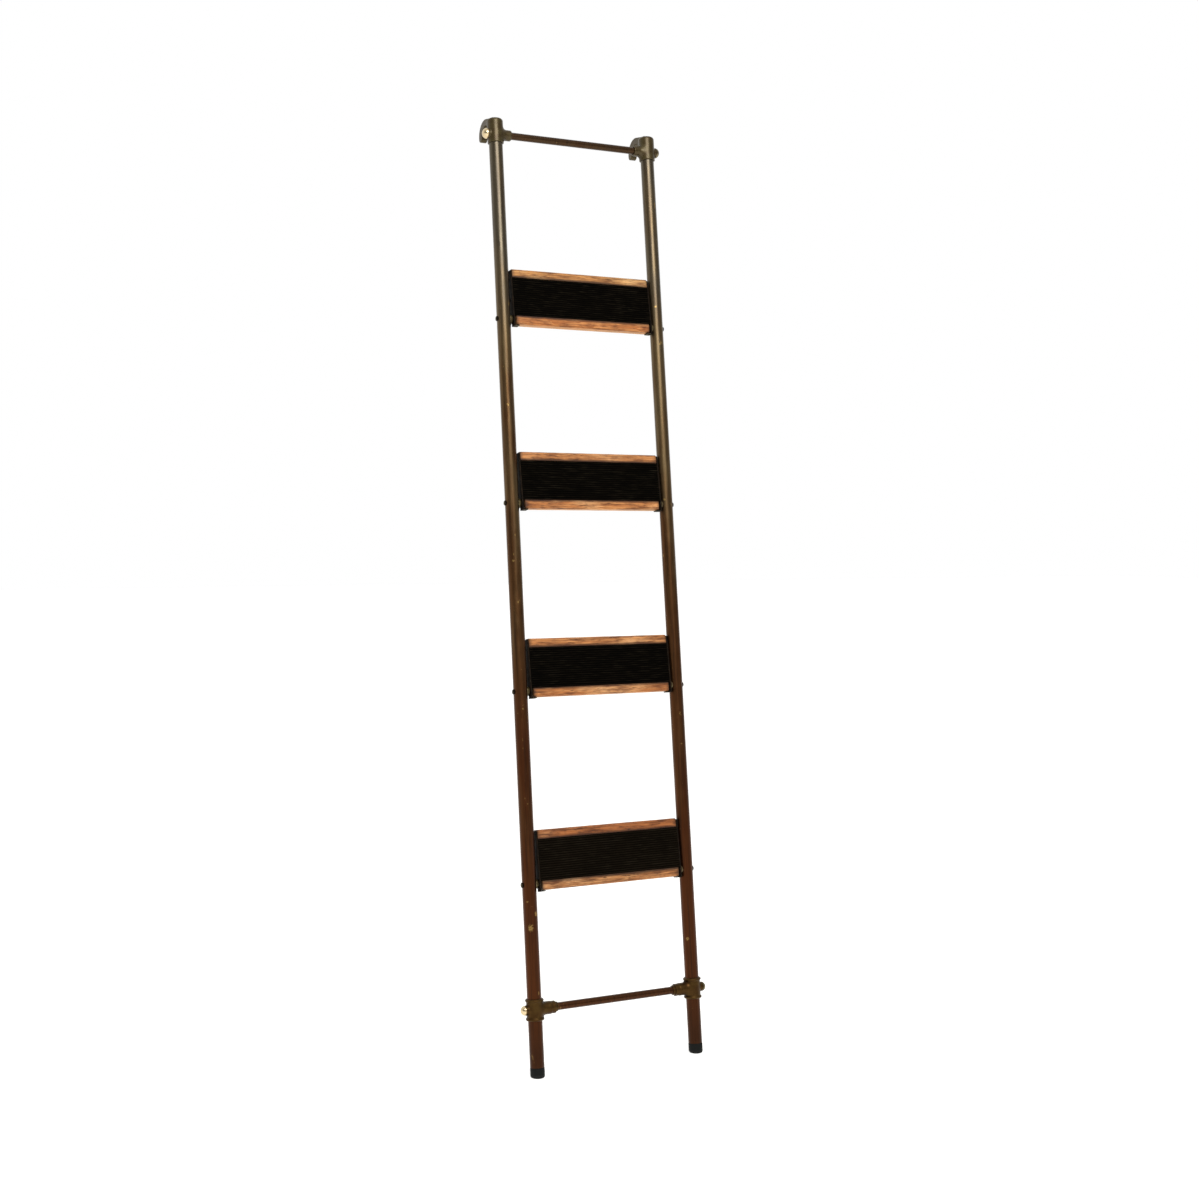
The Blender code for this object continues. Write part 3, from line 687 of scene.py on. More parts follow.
class Coat:
    """A material under construction: its nodes, its place on the piece, and its shader."""

    def __init__(self, name: str, metallic: float, ior: float = 1.5) -> None:
        """Start a material.

        Args:
            name: The material's name.
            metallic: How far the finish is bare metal.
            ior: Index of refraction of its surface.
        """
        self.material = bpy.data.materials.new(name)
        self.material.use_nodes = True
        self.nodes = Nodes(self.material.node_tree)
        self.shader = self.material.node_tree.nodes["Principled BSDF"]
        self.shader.inputs["Metallic"].default_value = metallic
        self.shader.inputs["IOR"].default_value = ior
        self.place = self.attribute("place").outputs["Vector"]
        self.edge = self.attribute("edge").outputs["Fac"]
        self.hollow = self.attribute("hollow").outputs["Fac"]

    def attribute(self, name: str) -> bpy.types.Node:
        """Read one of the piece's own attributes."""
        return self.nodes.add("ShaderNodeAttribute", attribute_name=name)

    def drive(self, key: str, value: object) -> None:
        """Link a socket to the shader's input, or set the input to a value."""
        self.nodes.give(self.shader.inputs[key], value)

    def emboss(self, height: object, strength: float, depth: float) -> None:
        """Raise the surface by a height map.

        Args:
            height: The map.
            strength: How strongly it shows, 0 to 1.
            depth: What a height of 1 means, in metres.
        """
        feed = {"Strength": strength, "Distance": depth, "Height": height}
        self.drive("Normal", self.nodes.add("ShaderNodeBump", feed).outputs["Normal"])


# ---------------------------------------------------------------- finishes


@dataclass(frozen=True)
class PatinatedTube:
    """Old brown lacquer on brass tube: olive at the top, warmer and redder towards the feet."""

    name: str = "patinated_tube"
    slot: str = "patinated_tube"
    olive: Colour = (0.080, 0.062, 0.035)
    straw: Colour = (0.125, 0.082, 0.034)
    umber: Colour = (0.092, 0.044, 0.015)
    russet: Colour = (0.070, 0.021, 0.006)
    soot: Colour = (0.022, 0.010, 0.005)
    brass: Colour = (0.42, 0.27, 0.085)
    roughness: float = 0.36
    metallic: float = 0.92
    lacquer: float = 0.45
    lacquer_roughness: float = 0.3
    to_umber: Span = (0.45, 1.05)
    to_straw: Span = (0.95, 1.25)
    to_olive: Span = (1.25, 1.6)
    to_gloss: Span = (0.9, 1.6)
    foot_dirt: Span = (0.04, 0.13)

    def material(self) -> bpy.types.Material:
        """The lacquer's colour follows the height; chips show brass, streaks are darker."""
        coat = Coat(self.name, self.metallic)
        n = coat.nodes
        height = n.add("ShaderNodeSeparateXYZ", {0: coat.place}).outputs["Z"]
        wander = n.remap(n.noise(n.stretched(coat.place, (30.0, 30.0, 5.0)), 1.0, 4.0),
                         0.25, 0.75, -0.35, 0.35)
        level = n.maths("ADD", height, wander)
        colour = n.blend(n.remap(level, *self.to_umber), self.russet, self.umber)
        colour = n.blend(n.remap(level, *self.to_straw), colour, self.straw)
        colour = n.blend(n.remap(level, *self.to_olive), colour, self.olive)
        streak = n.noise(n.stretched(coat.place, (260.0, 260.0, 9.0)), 1.0, 4.0)
        colour = n.blend(n.remap(streak, 0.46, 0.7, 0.0, 0.6), colour, self.soot)
        chips = n.group(patches(), {"Place": n.stretched(coat.place, (1.0, 1.0, 0.55)),
                                    "Scale": 75.0, "Amount": 0.30, "Softness": 0.05})
        specks = n.remap(n.noise(coat.place, 420.0, 1.0), 0.79, 0.83)
        worn = n.group(bared_edges(), {"Place": coat.place, "Edge": coat.edge,
                                       "Amount": 0.5, "Scale": 330.0})
        bare = n.maths("MAXIMUM", n.maths("MAXIMUM", chips.outputs["Mask"], specks),
                       worn.outputs["Mask"])
        colour = n.blend(n.maths("MULTIPLY", bare, 0.62), colour, self.brass)
        colour = n.blend(n.remap(height, *self.foot_dirt, 0.6, 0.0), colour, self.soot)
        used = n.group(handling(), {"Place": coat.place, "Grip": 0.05})
        gloss = n.remap(level, *self.to_gloss, 0.0, self.lacquer)
        coat.drive("Coat Weight", gloss)
        coat.drive("Coat Roughness", self.lacquer_roughness)
        coat.drive("Base Color", colour)
        coat.drive("Roughness", n.maths("ADD", used.outputs["Gloss"], self.roughness))
        coat.emboss(used.outputs["Height"], 0.04, 0.00008)
        return coat.material


@dataclass(frozen=True)
class CastBronze:
    """Cast fittings: brown patina, dark in the corners, rubbed to olive brass on the edges."""

    name: str = "cast_bronze"
    slot: str = "cast_bronze"
    brown: Colour = (0.044, 0.026, 0.007)
    olive: Colour = (0.060, 0.044, 0.013)
    dark: Colour = (0.010, 0.005, 0.003)
    rubbed: Colour = (0.20, 0.155, 0.075)
    roughness: float = 0.40
    metallic: float = 0.62
    sheen: float = 0.3
    lacquer: float = 0.22
    lacquer_roughness: float = 0.26

    def material(self) -> bpy.types.Material:
        """Patches of olive on brown, soot in the hollows, bared metal on the edges."""
        coat = Coat(self.name, self.metallic)
        n = coat.nodes
        spots = n.group(patches(), {"Place": coat.place, "Scale": 90.0, "Amount": 0.52,
                                    "Softness": 0.3})
        colour = n.blend(spots.outputs["Mask"], self.brown, self.olive)
        colour = n.blend(n.remap(coat.hollow, 0.12, 0.55), colour, self.dark)
        bared = n.group(bared_edges(), {"Place": coat.place, "Edge": coat.edge,
                                        "Amount": 0.5, "Scale": 160.0})
        colour = n.blend(n.maths("MULTIPLY", bared.outputs["Mask"], 0.55), colour, self.rubbed)
        used = n.group(handling(), {"Place": coat.place, "Grip": 0.12})
        skin = n.maths("ADD", n.noise(coat.place, 420.0, 3.0), used.outputs["Height"])
        coat.drive("Base Color", colour)
        coat.drive("Roughness", n.maths("ADD", used.outputs["Gloss"], self.roughness))
        coat.drive("Specular IOR Level", self.sheen)
        coat.drive("Coat Weight", self.lacquer)
        coat.drive("Coat Roughness", self.lacquer_roughness)
        coat.emboss(skin, 0.12, 0.00012)
        return coat.material


@dataclass(frozen=True)
class PolishedBrass:
    """The domed screws: bright brass with a thin tarnish round the foot of the dome."""

    name: str = "polished_brass"
    slot: str = "polished_brass"
    bright: Colour = (0.68, 0.55, 0.34)
    tarnish: Colour = (0.30, 0.19, 0.08)
    roughness: float = 0.16

    def material(self) -> bpy.types.Material:
        """Bright metal, tarnished in cloudy patches and in the corner against its seat."""
        coat = Coat(self.name, metallic=1.0)
        n = coat.nodes
        cloud = n.group(patches(), {"Place": coat.place, "Scale": 260.0, "Amount": 0.42,
                                    "Softness": 0.35})
        dull = n.maths("MAXIMUM", n.maths("MULTIPLY", cloud.outputs["Mask"], 0.35),
                       n.remap(coat.hollow, 0.1, 0.6))
        used = n.group(handling(), {"Place": coat.place, "Grip": 0.06})
        coat.drive("Base Color", n.blend(dull, self.bright, self.tarnish))
        coat.drive("Roughness", n.maths("ADD", n.remap(dull, 0.0, 1.0, self.roughness, 0.4),
                                        used.outputs["Gloss"]))
        coat.emboss(used.outputs["Height"], 0.2, 0.00005)
        return coat.material


@dataclass(frozen=True)
class DarkMetal:
    """Blackened brackets, bolts and nuts, greyish olive where they were rubbed."""

    name: str = "dark_metal"
    slot: str = "dark_metal"
    black: Colour = (0.0045, 0.0032, 0.0022)
    brown: Colour = (0.012, 0.007, 0.004)
    rubbed: Colour = (0.115, 0.100, 0.062)
    roughness: float = 0.62
    sheen: float = 0.04

    def material(self) -> bpy.types.Material:
        """Black with brown bloom; the edges and raised rims are rubbed to grey olive."""
        coat = Coat(self.name, metallic=0.0)
        coat.drive("Specular IOR Level", self.sheen)
        n = coat.nodes
        bloom = n.group(patches(), {"Place": coat.place, "Scale": 120.0, "Amount": 0.5,
                                    "Softness": 0.3})
        colour = n.blend(bloom.outputs["Mask"], self.black, self.brown)
        bared = n.group(bared_edges(), {"Place": coat.place, "Edge": coat.edge,
                                        "Amount": 0.42, "Scale": 220.0})
        colour = n.blend(n.maths("MULTIPLY", bared.outputs["Mask"], 0.8), colour, self.rubbed)
        used = n.group(handling(), {"Place": coat.place, "Grip": 0.1})
        coat.drive("Base Color", colour)
        coat.drive("Roughness", n.maths("ADD", used.outputs["Gloss"], self.roughness))
        coat.emboss(used.outputs["Height"], 0.3, 0.0001)
        return coat.material


@dataclass(frozen=True)
class OiledWood:
    """Orange-brown hardwood with a worn oil finish; painted shade darkens it by the mat, painted
    shade with some dirt at its ends.
    """

    name: str = "oiled_wood"
    slot: str = "oiled_wood"
    light: Colour = (0.57, 0.255, 0.085)
    middle: Colour = (0.40, 0.140, 0.036)
    dark: Colour = (0.100, 0.028, 0.007)
    grime: Colour = (0.022, 0.008, 0.003)
    pale: Colour = (0.68, 0.40, 0.185)
    upper: Colour = (1.0, 1.0, 1.0)
    lower: Colour = (1.0, 0.96, 0.93)
    roughness: float = 0.5
    sheen: float = 0.25

    def material(self) -> bpy.types.Material:
        """Rings and fibres set the colour, dirty pores darken it, painted shade and dirt darken the
        ends and the mat's edge, worn edges are paler.

        The board's lower and upper margins take their own tints.
        """
        coat = Coat(self.name, metallic=0.0)
        n = coat.nodes
        figure = n.group(wood_figure(), {"Place": coat.place, "Heart": 0.055}).outputs
        colour = n.blend(n.remap(figure["Ring"], 0.15, 1.0), self.light, self.middle)
        colour = n.blend(n.remap(figure["Fibre"], 0.42, 0.72, 0.0, 0.8), colour, self.dark)
        colour = n.blend(n.remap(figure["Cloud"], 0.5, 0.75, 0.0, 0.55), colour, self.middle)
        colour = n.blend(n.remap(figure["Cloud"], 0.32, 0.48, 0.55, 0.0), colour, self.pale)
        colour = n.blend(n.remap(figure["Band"], 0.44, 0.64, 0.0, 0.95), colour, self.dark)
        colour = n.blend(n.maths("MULTIPLY", figure["Pore"], 0.75), colour, self.grime)
        bared = n.group(bared_edges(), {"Place": coat.place, "Edge": coat.edge,
                                        "Amount": 0.5, "Scale": 90.0})
        colour = n.blend(n.maths("MULTIPLY", bared.outputs["Mask"], 0.45), colour, self.pale)
        uneven = n.remap(figure["Cloud"], 0.3, 0.7, -0.25, 0.15)
        # Painted shade along the mat's edge, and painted shade with some dirt at the board's ends,
        # read from the hollow mask.
        soil_and_shade = n.remap(n.maths("ADD", coat.hollow, uneven), 0.2, 0.95)
        colour = n.blend(n.maths("MULTIPLY", soil_and_shade, 0.9), colour, self.grime)
        across = n.add("ShaderNodeSeparateXYZ", {0: coat.place}).outputs["Z"]
        tint = n.blend(n.remap(across, 0.045, 0.07), self.lower, self.upper)
        colour = n.stretched(colour, tint)
        coat.drive("Base Color", colour)
        coat.drive("Roughness", n.remap(figure["Fibre"], 0.3, 0.7, self.roughness - 0.07,
                                        self.roughness + 0.12))
        coat.drive("Specular IOR Level", self.sheen)
        relief = n.maths("SUBTRACT", figure["Fibre"], figure["Pore"])
        coat.emboss(relief, 0.45, 0.00018)
        return coat.material


@dataclass(frozen=True)
class BlackRubber:
    """Ribbed mats and feet: near black, with grey scuffs along the ribs and dust in pits."""

    name: str = "black_rubber"
    slot: str = "black_rubber"
    black: Colour = (0.0004, 0.0003, 0.0002)
    worn: Colour = (0.0028, 0.0020, 0.0011)
    dust: Colour = (0.023, 0.018, 0.011)
    roughness: float = 0.5
    sheen: float = 0.012

    def material(self) -> bpy.types.Material:
        """Scuffs are noise stretched along the ribs, shown on their crests."""
        coat = Coat(self.name, metallic=0.0, ior=1.48)
        n = coat.nodes
        cloud = n.group(patches(), {"Place": coat.place, "Scale": 24.0, "Amount": 0.5,
                                    "Softness": 0.35})
        rubbed = n.maths("MULTIPLY", n.remap(cloud.outputs["Mask"], 0.0, 1.0, 0.45, 1.0),
                         n.remap(coat.edge, 0.35, 0.95, 0.05, 1.0))
        colour = n.blend(rubbed, self.black, self.worn)
        scuff = n.noise(n.stretched(coat.place, (38.0, 500.0, 500.0)), 1.0, 4.0, 0.65)
        crest = n.maths("MULTIPLY", n.remap(scuff, 0.5, 0.72), n.remap(coat.edge, 0.5, 1.0))
        colour = n.blend(n.maths("MULTIPLY", crest, 0.6), colour, self.dust)
        specks = n.remap(n.noise(coat.place, 480.0, 2.0), 0.74, 0.8)
        colour = n.blend(n.maths("MULTIPLY", specks, 0.5), colour, self.dust)
        coat.drive("Base Color", colour)
        coat.drive("Roughness", n.remap(scuff, 0.3, 0.8, self.roughness, self.roughness + 0.25))
        coat.drive("Specular IOR Level", self.sheen)
        coat.emboss(n.noise(coat.place, 1300.0, 3.0), 0.3, 0.0001)
        return coat.material


Finish = PatinatedTube | CastBronze | PolishedBrass | DarkMetal | OiledWood | BlackRubber
TUBE = PatinatedTube()
ROD = PatinatedTube(name="tie_rod_lacquer", slot="tie_rod_bronze", olive=(0.044, 0.023, 0.008),
                    straw=(0.050, 0.024, 0.008),
                    umber=(0.052, 0.021, 0.007), russet=(0.070, 0.025, 0.008), lacquer=0.15)
BRONZE = CastBronze()
TEE_BRONZE = CastBronze(name="tee_bronze", brown=(0.044, 0.020, 0.006), olive=(0.066, 0.036, 0.010),
                        dark=(0.012, 0.005, 0.002), rubbed=(0.17, 0.120, 0.055), metallic=0.8,
                        sheen=0.08, lacquer=0.0)
BRASS = PolishedBrass()
DARK = DarkMetal()
WOOD = OiledWood()
FADED_WOOD = OiledWood(name="faded_wood", upper=(1.02, 1.14, 1.12), lower=(1.0, 0.92, 0.84))
WORN_WOOD = OiledWood(name="worn_wood", upper=(0.74, 0.62, 0.56), lower=(0.98, 1.06, 1.2))
BOARD_FINISHES = (WORN_WOOD, WOOD, WOOD, FADED_WOOD)
RUBBER = BlackRubber()
DUSTY = BlackRubber(name="dusty_rubber", black=(0.0018, 0.0012, 0.0006),
                    worn=(0.0070, 0.0048, 0.0026))
FOOT_RUBBER = BlackRubber(name="foot_rubber", black=(0.0060, 0.0066, 0.0060),
                          worn=(0.0140, 0.0152, 0.0136), sheen=0.1)
# A darker copy of the polished brass for the right-hand domes: painted shade, for the side away
# from the light.
SHADED_SIDE_BRASS = PolishedBrass(name="dull_brass", bright=(0.20, 0.165, 0.095),
                           tarnish=(0.055, 0.040, 0.020), roughness=0.28)


@cache
def dressed(finish: Finish) -> bpy.types.Material:
    """The material of a finish, made once."""
    return finish.material()


def show(name: str, skin: Skin, local: Array, finish: Finish, body: str, node: str | None
         ) -> bpy.types.Object:
    """Make a skin a piece of the object, with its masks, its finish and its body.

    Args:
        name: The piece's name.
        skin: The surface in the row frame.
        local: Each point's place in the piece's own frame, which its finish reads.
        finish: What it is finished with.
        body: The body that it moves with.
        node: The solid that it stands for, if it has one.

    Returns:
        The piece.
    """
    mesh = bpy.data.meshes.new(name)
    sizes = np.concatenate([np.full(len(group), group.shape[1]) for group in skin.faces])
    corners = np.concatenate([group.ravel() for group in skin.faces])
    mesh.vertices.add(len(skin.points))
    mesh.vertices.foreach_set("co", skin.points.astype(np.float32).ravel())
    mesh.loops.add(len(corners))
    mesh.loops.foreach_set("vertex_index", corners.astype(np.int32))
    mesh.polygons.add(len(sizes))
    mesh.polygons.foreach_set("loop_start", (np.cumsum(sizes) - sizes).astype(np.int32))
    mesh.update(calc_edges=True)
    mesh.attributes.new("place", "FLOAT_VECTOR", "POINT").data.foreach_set(
        "vector", local.astype(np.float32).ravel())
    for mask, values in (("edge", skin.edge), ("hollow", skin.hollow)):
        if values is not None:
            mesh.attributes.new(mask, "FLOAT", "POINT").data.foreach_set(
                "value", values.astype(np.float32))
    mesh.shade_smooth()
    mesh.set_sharp_from_angle(angle=math.radians(40))
    mesh.materials.append(dressed(finish))
    piece = bpy.data.objects.new(name, mesh)
    bpy.context.scene.collection.objects.link(piece)
    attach(piece, body)
    if node:
        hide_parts(node)
    LOG.info("%s: %d faces, rides on %s", name, len(mesh.polygons), body)
    return piece


# ---------------------------------------------------------------- outlines


def arc(centre: Span, radius: float, start: float, end: float, count: int) -> Array:
    """Points on an arc, angles in degrees, both ends included."""
    angle = np.radians(np.linspace(start, end, count))
    return np.stack([centre[0] + radius * np.cos(angle), centre[1] + radius * np.sin(angle)],
                    axis=-1)


def rounded_ticks(low: float, high: float, corner: float, pitch: float, count: int = 6
                  ) -> Array:
    """Grid ticks from low to high: close together over the rounded ends, even between them.

    Args:
        low: First tick.
        high: Last tick.
        corner: Length of each rounded end.
        pitch: Spacing in the middle.
        count: Number of ticks over each end.

    Returns:
        The ticks, in rising order.
    """
    turn = corner * (1 - np.cos(np.linspace(0, math.pi / 2, count)))
    between = round((high - low - 2 * corner) / pitch) + 1
    middle = np.linspace(low + corner, high - corner, between)[1:-1]
    return np.concatenate([low + turn, middle, high - turn[::-1]])


def fall(ticks: Array, low: float, high: float, corner: float) -> Array:
    """How far a rounded face falls back near its two ends: a quarter circle at each."""
    past = np.clip(np.maximum(low + corner - ticks, ticks - (high - corner)) / corner, 0, 1)
    return corner * (1 - np.sqrt(np.clip(1 - past * past, 0, 1)))


def waves(first: Array, second: Array, seed: int, length: float) -> Array:
    """Slow unevenness between -1 and 1: the mean of a few crossed sine waves.

    Args:
        first: First coordinate.
        second: Second coordinate.
        seed: Which set of waves.
        length: Typical wave length, in metres.

    Returns:
        The unevenness at each point.
    """
    draw = np.random.default_rng(seed)
    total = np.zeros(np.broadcast(first, second).shape)
    for _ in range(6):
        pace = draw.normal(0, 2 * math.pi / length, 2)
        total += np.sin(first * pace[0] + second * pace[1] + draw.uniform(0, 2 * math.pi))
    return total / 6


# ---------------------------------------------------------------- sub-assemblies


@dataclass(frozen=True)
class Rub:
    """A worn spot on a stile (the right-hand one at 1392 mm is partly a painted highlight): degrees
    round it from +X, and height and radius in mm.
    """

    angle: float
    height: float
    radius: float

    def mask(self, points: Array) -> Array:
        """How worn points of a tube are, falling from 1 at the spot as a bell curve.

        Args:
            points: Points of a tube that stands on the origin.

        Returns:
            The mask.
        """
        turn = np.arctan2(points[:, 1], points[:, 0]) - math.radians(self.angle)
        turn = np.mod(turn + math.pi, 2 * math.pi) - math.pi
        across = turn * np.hypot(points[:, 0], points[:, 1])
        away = np.hypot(across, points[:, 2] - self.height * MM)
        return np.exp(-(away / (self.radius * MM)) ** 2)


RUBS = {
    Side.LEFT: (Rub(246, 257, 8.0), Rub(297, 281, 5.5), Rub(228, 303, 3.0), Rub(262, 640, 3.0),
                Rub(236, 905, 3.5), Rub(250, 1190, 4.0)),
    # The first right-hand spot, at 1392 mm, is partly wear and partly a painted highlight.
    Side.RIGHT: (Rub(241, 1392, 4.0), Rub(231, 1020, 3.5), Rub(262, 560, 3.0),
                 Rub(222, 205, 4.5)),
}


@dataclass
class Stile:
    """One upright tube with its rubber foot."""

    ladder: LadderFrame
    side: Side
    radius: float = 12.7 * MM
    bore: float = 11.1 * MM
    low: float = 16.8 * MM
    top: float = 1715 * MM
    lip: float = 0.4 * MM
    pitch: float = 3.4 * MM
    columns: int = 64
    dents: int = 26
    dent_heights: Span = (0.05, 1.65)
    dent_sizes: Span = (2.5, 7)
    dent_depths: Span = (0.05, 0.22)
    bore_rows: int = 62
    foot_radius: float = 12.9 * MM
    foot_shoulder: float = 16.5 * MM
    foot_corner: float = 3.2 * MM
    sole_rise: float = 0.02 * MM
    foot_rim: float = 0.5 * MM
    sole_rings: Span = (4 * MM, 8 * MM)
    waist: float = 8 * MM
    spigot_radius: float = 10.8 * MM
    spigot_top: float = 38 * MM

    def dented(self, angle: Array, height: Array) -> Array:
        """How far the tube's wall is knocked in: round dents that fall off as bell curves.

        Args:
            angle: Angle about the tube.
            height: Height along the tube.

        Returns:
            The change in radius, none of it outward.
        """
        draw = np.random.default_rng(7 if self.side is Side.LEFT else 8)
        change = np.zeros(np.broadcast(angle, height).shape)
        for _ in range(self.dents):
            where, level = draw.uniform(0, 2 * math.pi), draw.uniform(*self.dent_heights)
            size, depth = draw.uniform(*self.dent_sizes) * MM, draw.uniform(*self.dent_depths) * MM
            across = self.radius * (np.mod(angle - where + math.pi, 2 * math.pi) - math.pi)
            change -= depth * np.exp(-(across ** 2 + (height - level) ** 2) / size ** 2)
        return change

    def build_tube(self) -> Skin:
        """The tube's wall: up the outside, over the rim, and down the bore."""
        outer = rounded_ticks(self.low, self.top, self.lip, self.pitch, 4)
        out = np.stack([self.radius - fall(outer, self.low, self.top, self.lip), outer], -1)
        inner = np.linspace(self.top, self.low, self.bore_rows)
        inside = np.stack([np.full(len(inner), self.bore), inner], -1)
        skin = ring_turned(np.concatenate([out, inside]), self.columns, self.dented)
        skin.edge = np.max([rub.mask(skin.points) for rub in RUBS[self.side]], axis=0)
        return skin

    def build_foot(self) -> Skin:
        """The plug: turned, with its sole sheared to the floor.

        Below the shoulder each height is mixed with the sloping floor plane, which lies at
        height = Y tan(lean) in the ladder's frame.
        """
        corner, bead = self.foot_corner, self.foot_rim
        edge = arc((self.foot_radius - corner, corner), corner, -90, 0, 6)
        rim = arc((self.foot_radius - bead, self.foot_shoulder - bead), bead, 0, 90, 4)
        sole = [(0, 0), *((ring, 0) for ring in self.sole_rings)]
        profile = np.concatenate([sole, edge, [(self.foot_radius, self.waist)], rim,
                                  [(self.spigot_radius, self.foot_shoulder),
                                   (self.spigot_radius, self.spigot_top), (0, self.spigot_top)]])
        profile[:, 1] = np.maximum(profile[:, 1], self.sole_rise)
        skin = turned(profile, self.columns)
        height = skin.points[:, 2]
        share = np.clip(1 - height / self.foot_shoulder, 0, 1)
        skin.points[:, 2] = height + share * skin.points[:, 1] * math.tan(self.ladder.lean)
        bend = np.hypot(skin.points[:, 0], skin.points[:, 1]) > self.foot_radius - corner
        skin.edge = np.where(bend & (height < 2 * corner), 0.8, 0.25)
        return skin

    def dress(self) -> None:
        """Place the tube and its foot, and finish them."""
        shift = np.array([self.side.value * self.ladder.half_spacing, 0, 0])
        label = self.side.label
        for name, skin, finish, node in (
                (f"tube_{label}", self.build_tube(), TUBE, f"stile_{label}"),
                (f"foot_plug_{label}", self.build_foot(), FOOT_RUBBER, f"foot_{label}")):
            placed = skin.moved(lambda points: self.ladder.root.place(points + shift))
            local = skin.points + [0, 0.37 * self.side.value, 0]
            show(name, placed, local, finish, "frame", node)


@dataclass
class StilePiece:
    """A piece that is worked out once in a stile's frame and placed on either side."""

    ladder: LadderFrame

    def set_on(self, side: Side, placing: Placing, skin: Skin) -> Skin:
        """Turn a stile's frame (E inward, Y, Z) into the row frame.

        X is side times (half the spacing less E), which mirrors the right-hand piece.

        Args:
            side: The stile.
            placing: The frame that Y and Z are in.
            skin: The piece in the stile's frame.

        Returns:
            The piece in the row frame, still facing out.
        """
        def change(points: Array) -> Array:
            """The side's X in place of E, then the placing."""
            x = side.value * (self.ladder.half_spacing - points[..., 0])
            return placing.place(np.stack([x, points[..., 1], points[..., 2]], axis=-1))

        return skin.moved(change, flip=side is Side.RIGHT)

    def set_pair(self, skin: Skin, finish: Finish, word: str, node: str) -> None:
        """Show a casting on both stiles, with its pattern shifted so that they differ.

        Args:
            skin: The casting in a stile's frame.
            finish: What it is finished with.
            word: The pieces' name without the side.
            node: The solids' name without the side.
        """
        for side in Side:
            local = skin.points + [0.3 * side.value, 0, 0]
            show(f"{word}_{side.label}", self.set_on(side, self.ladder.root, skin), local,
                 finish, "frame", f"{node}_{side.label}")


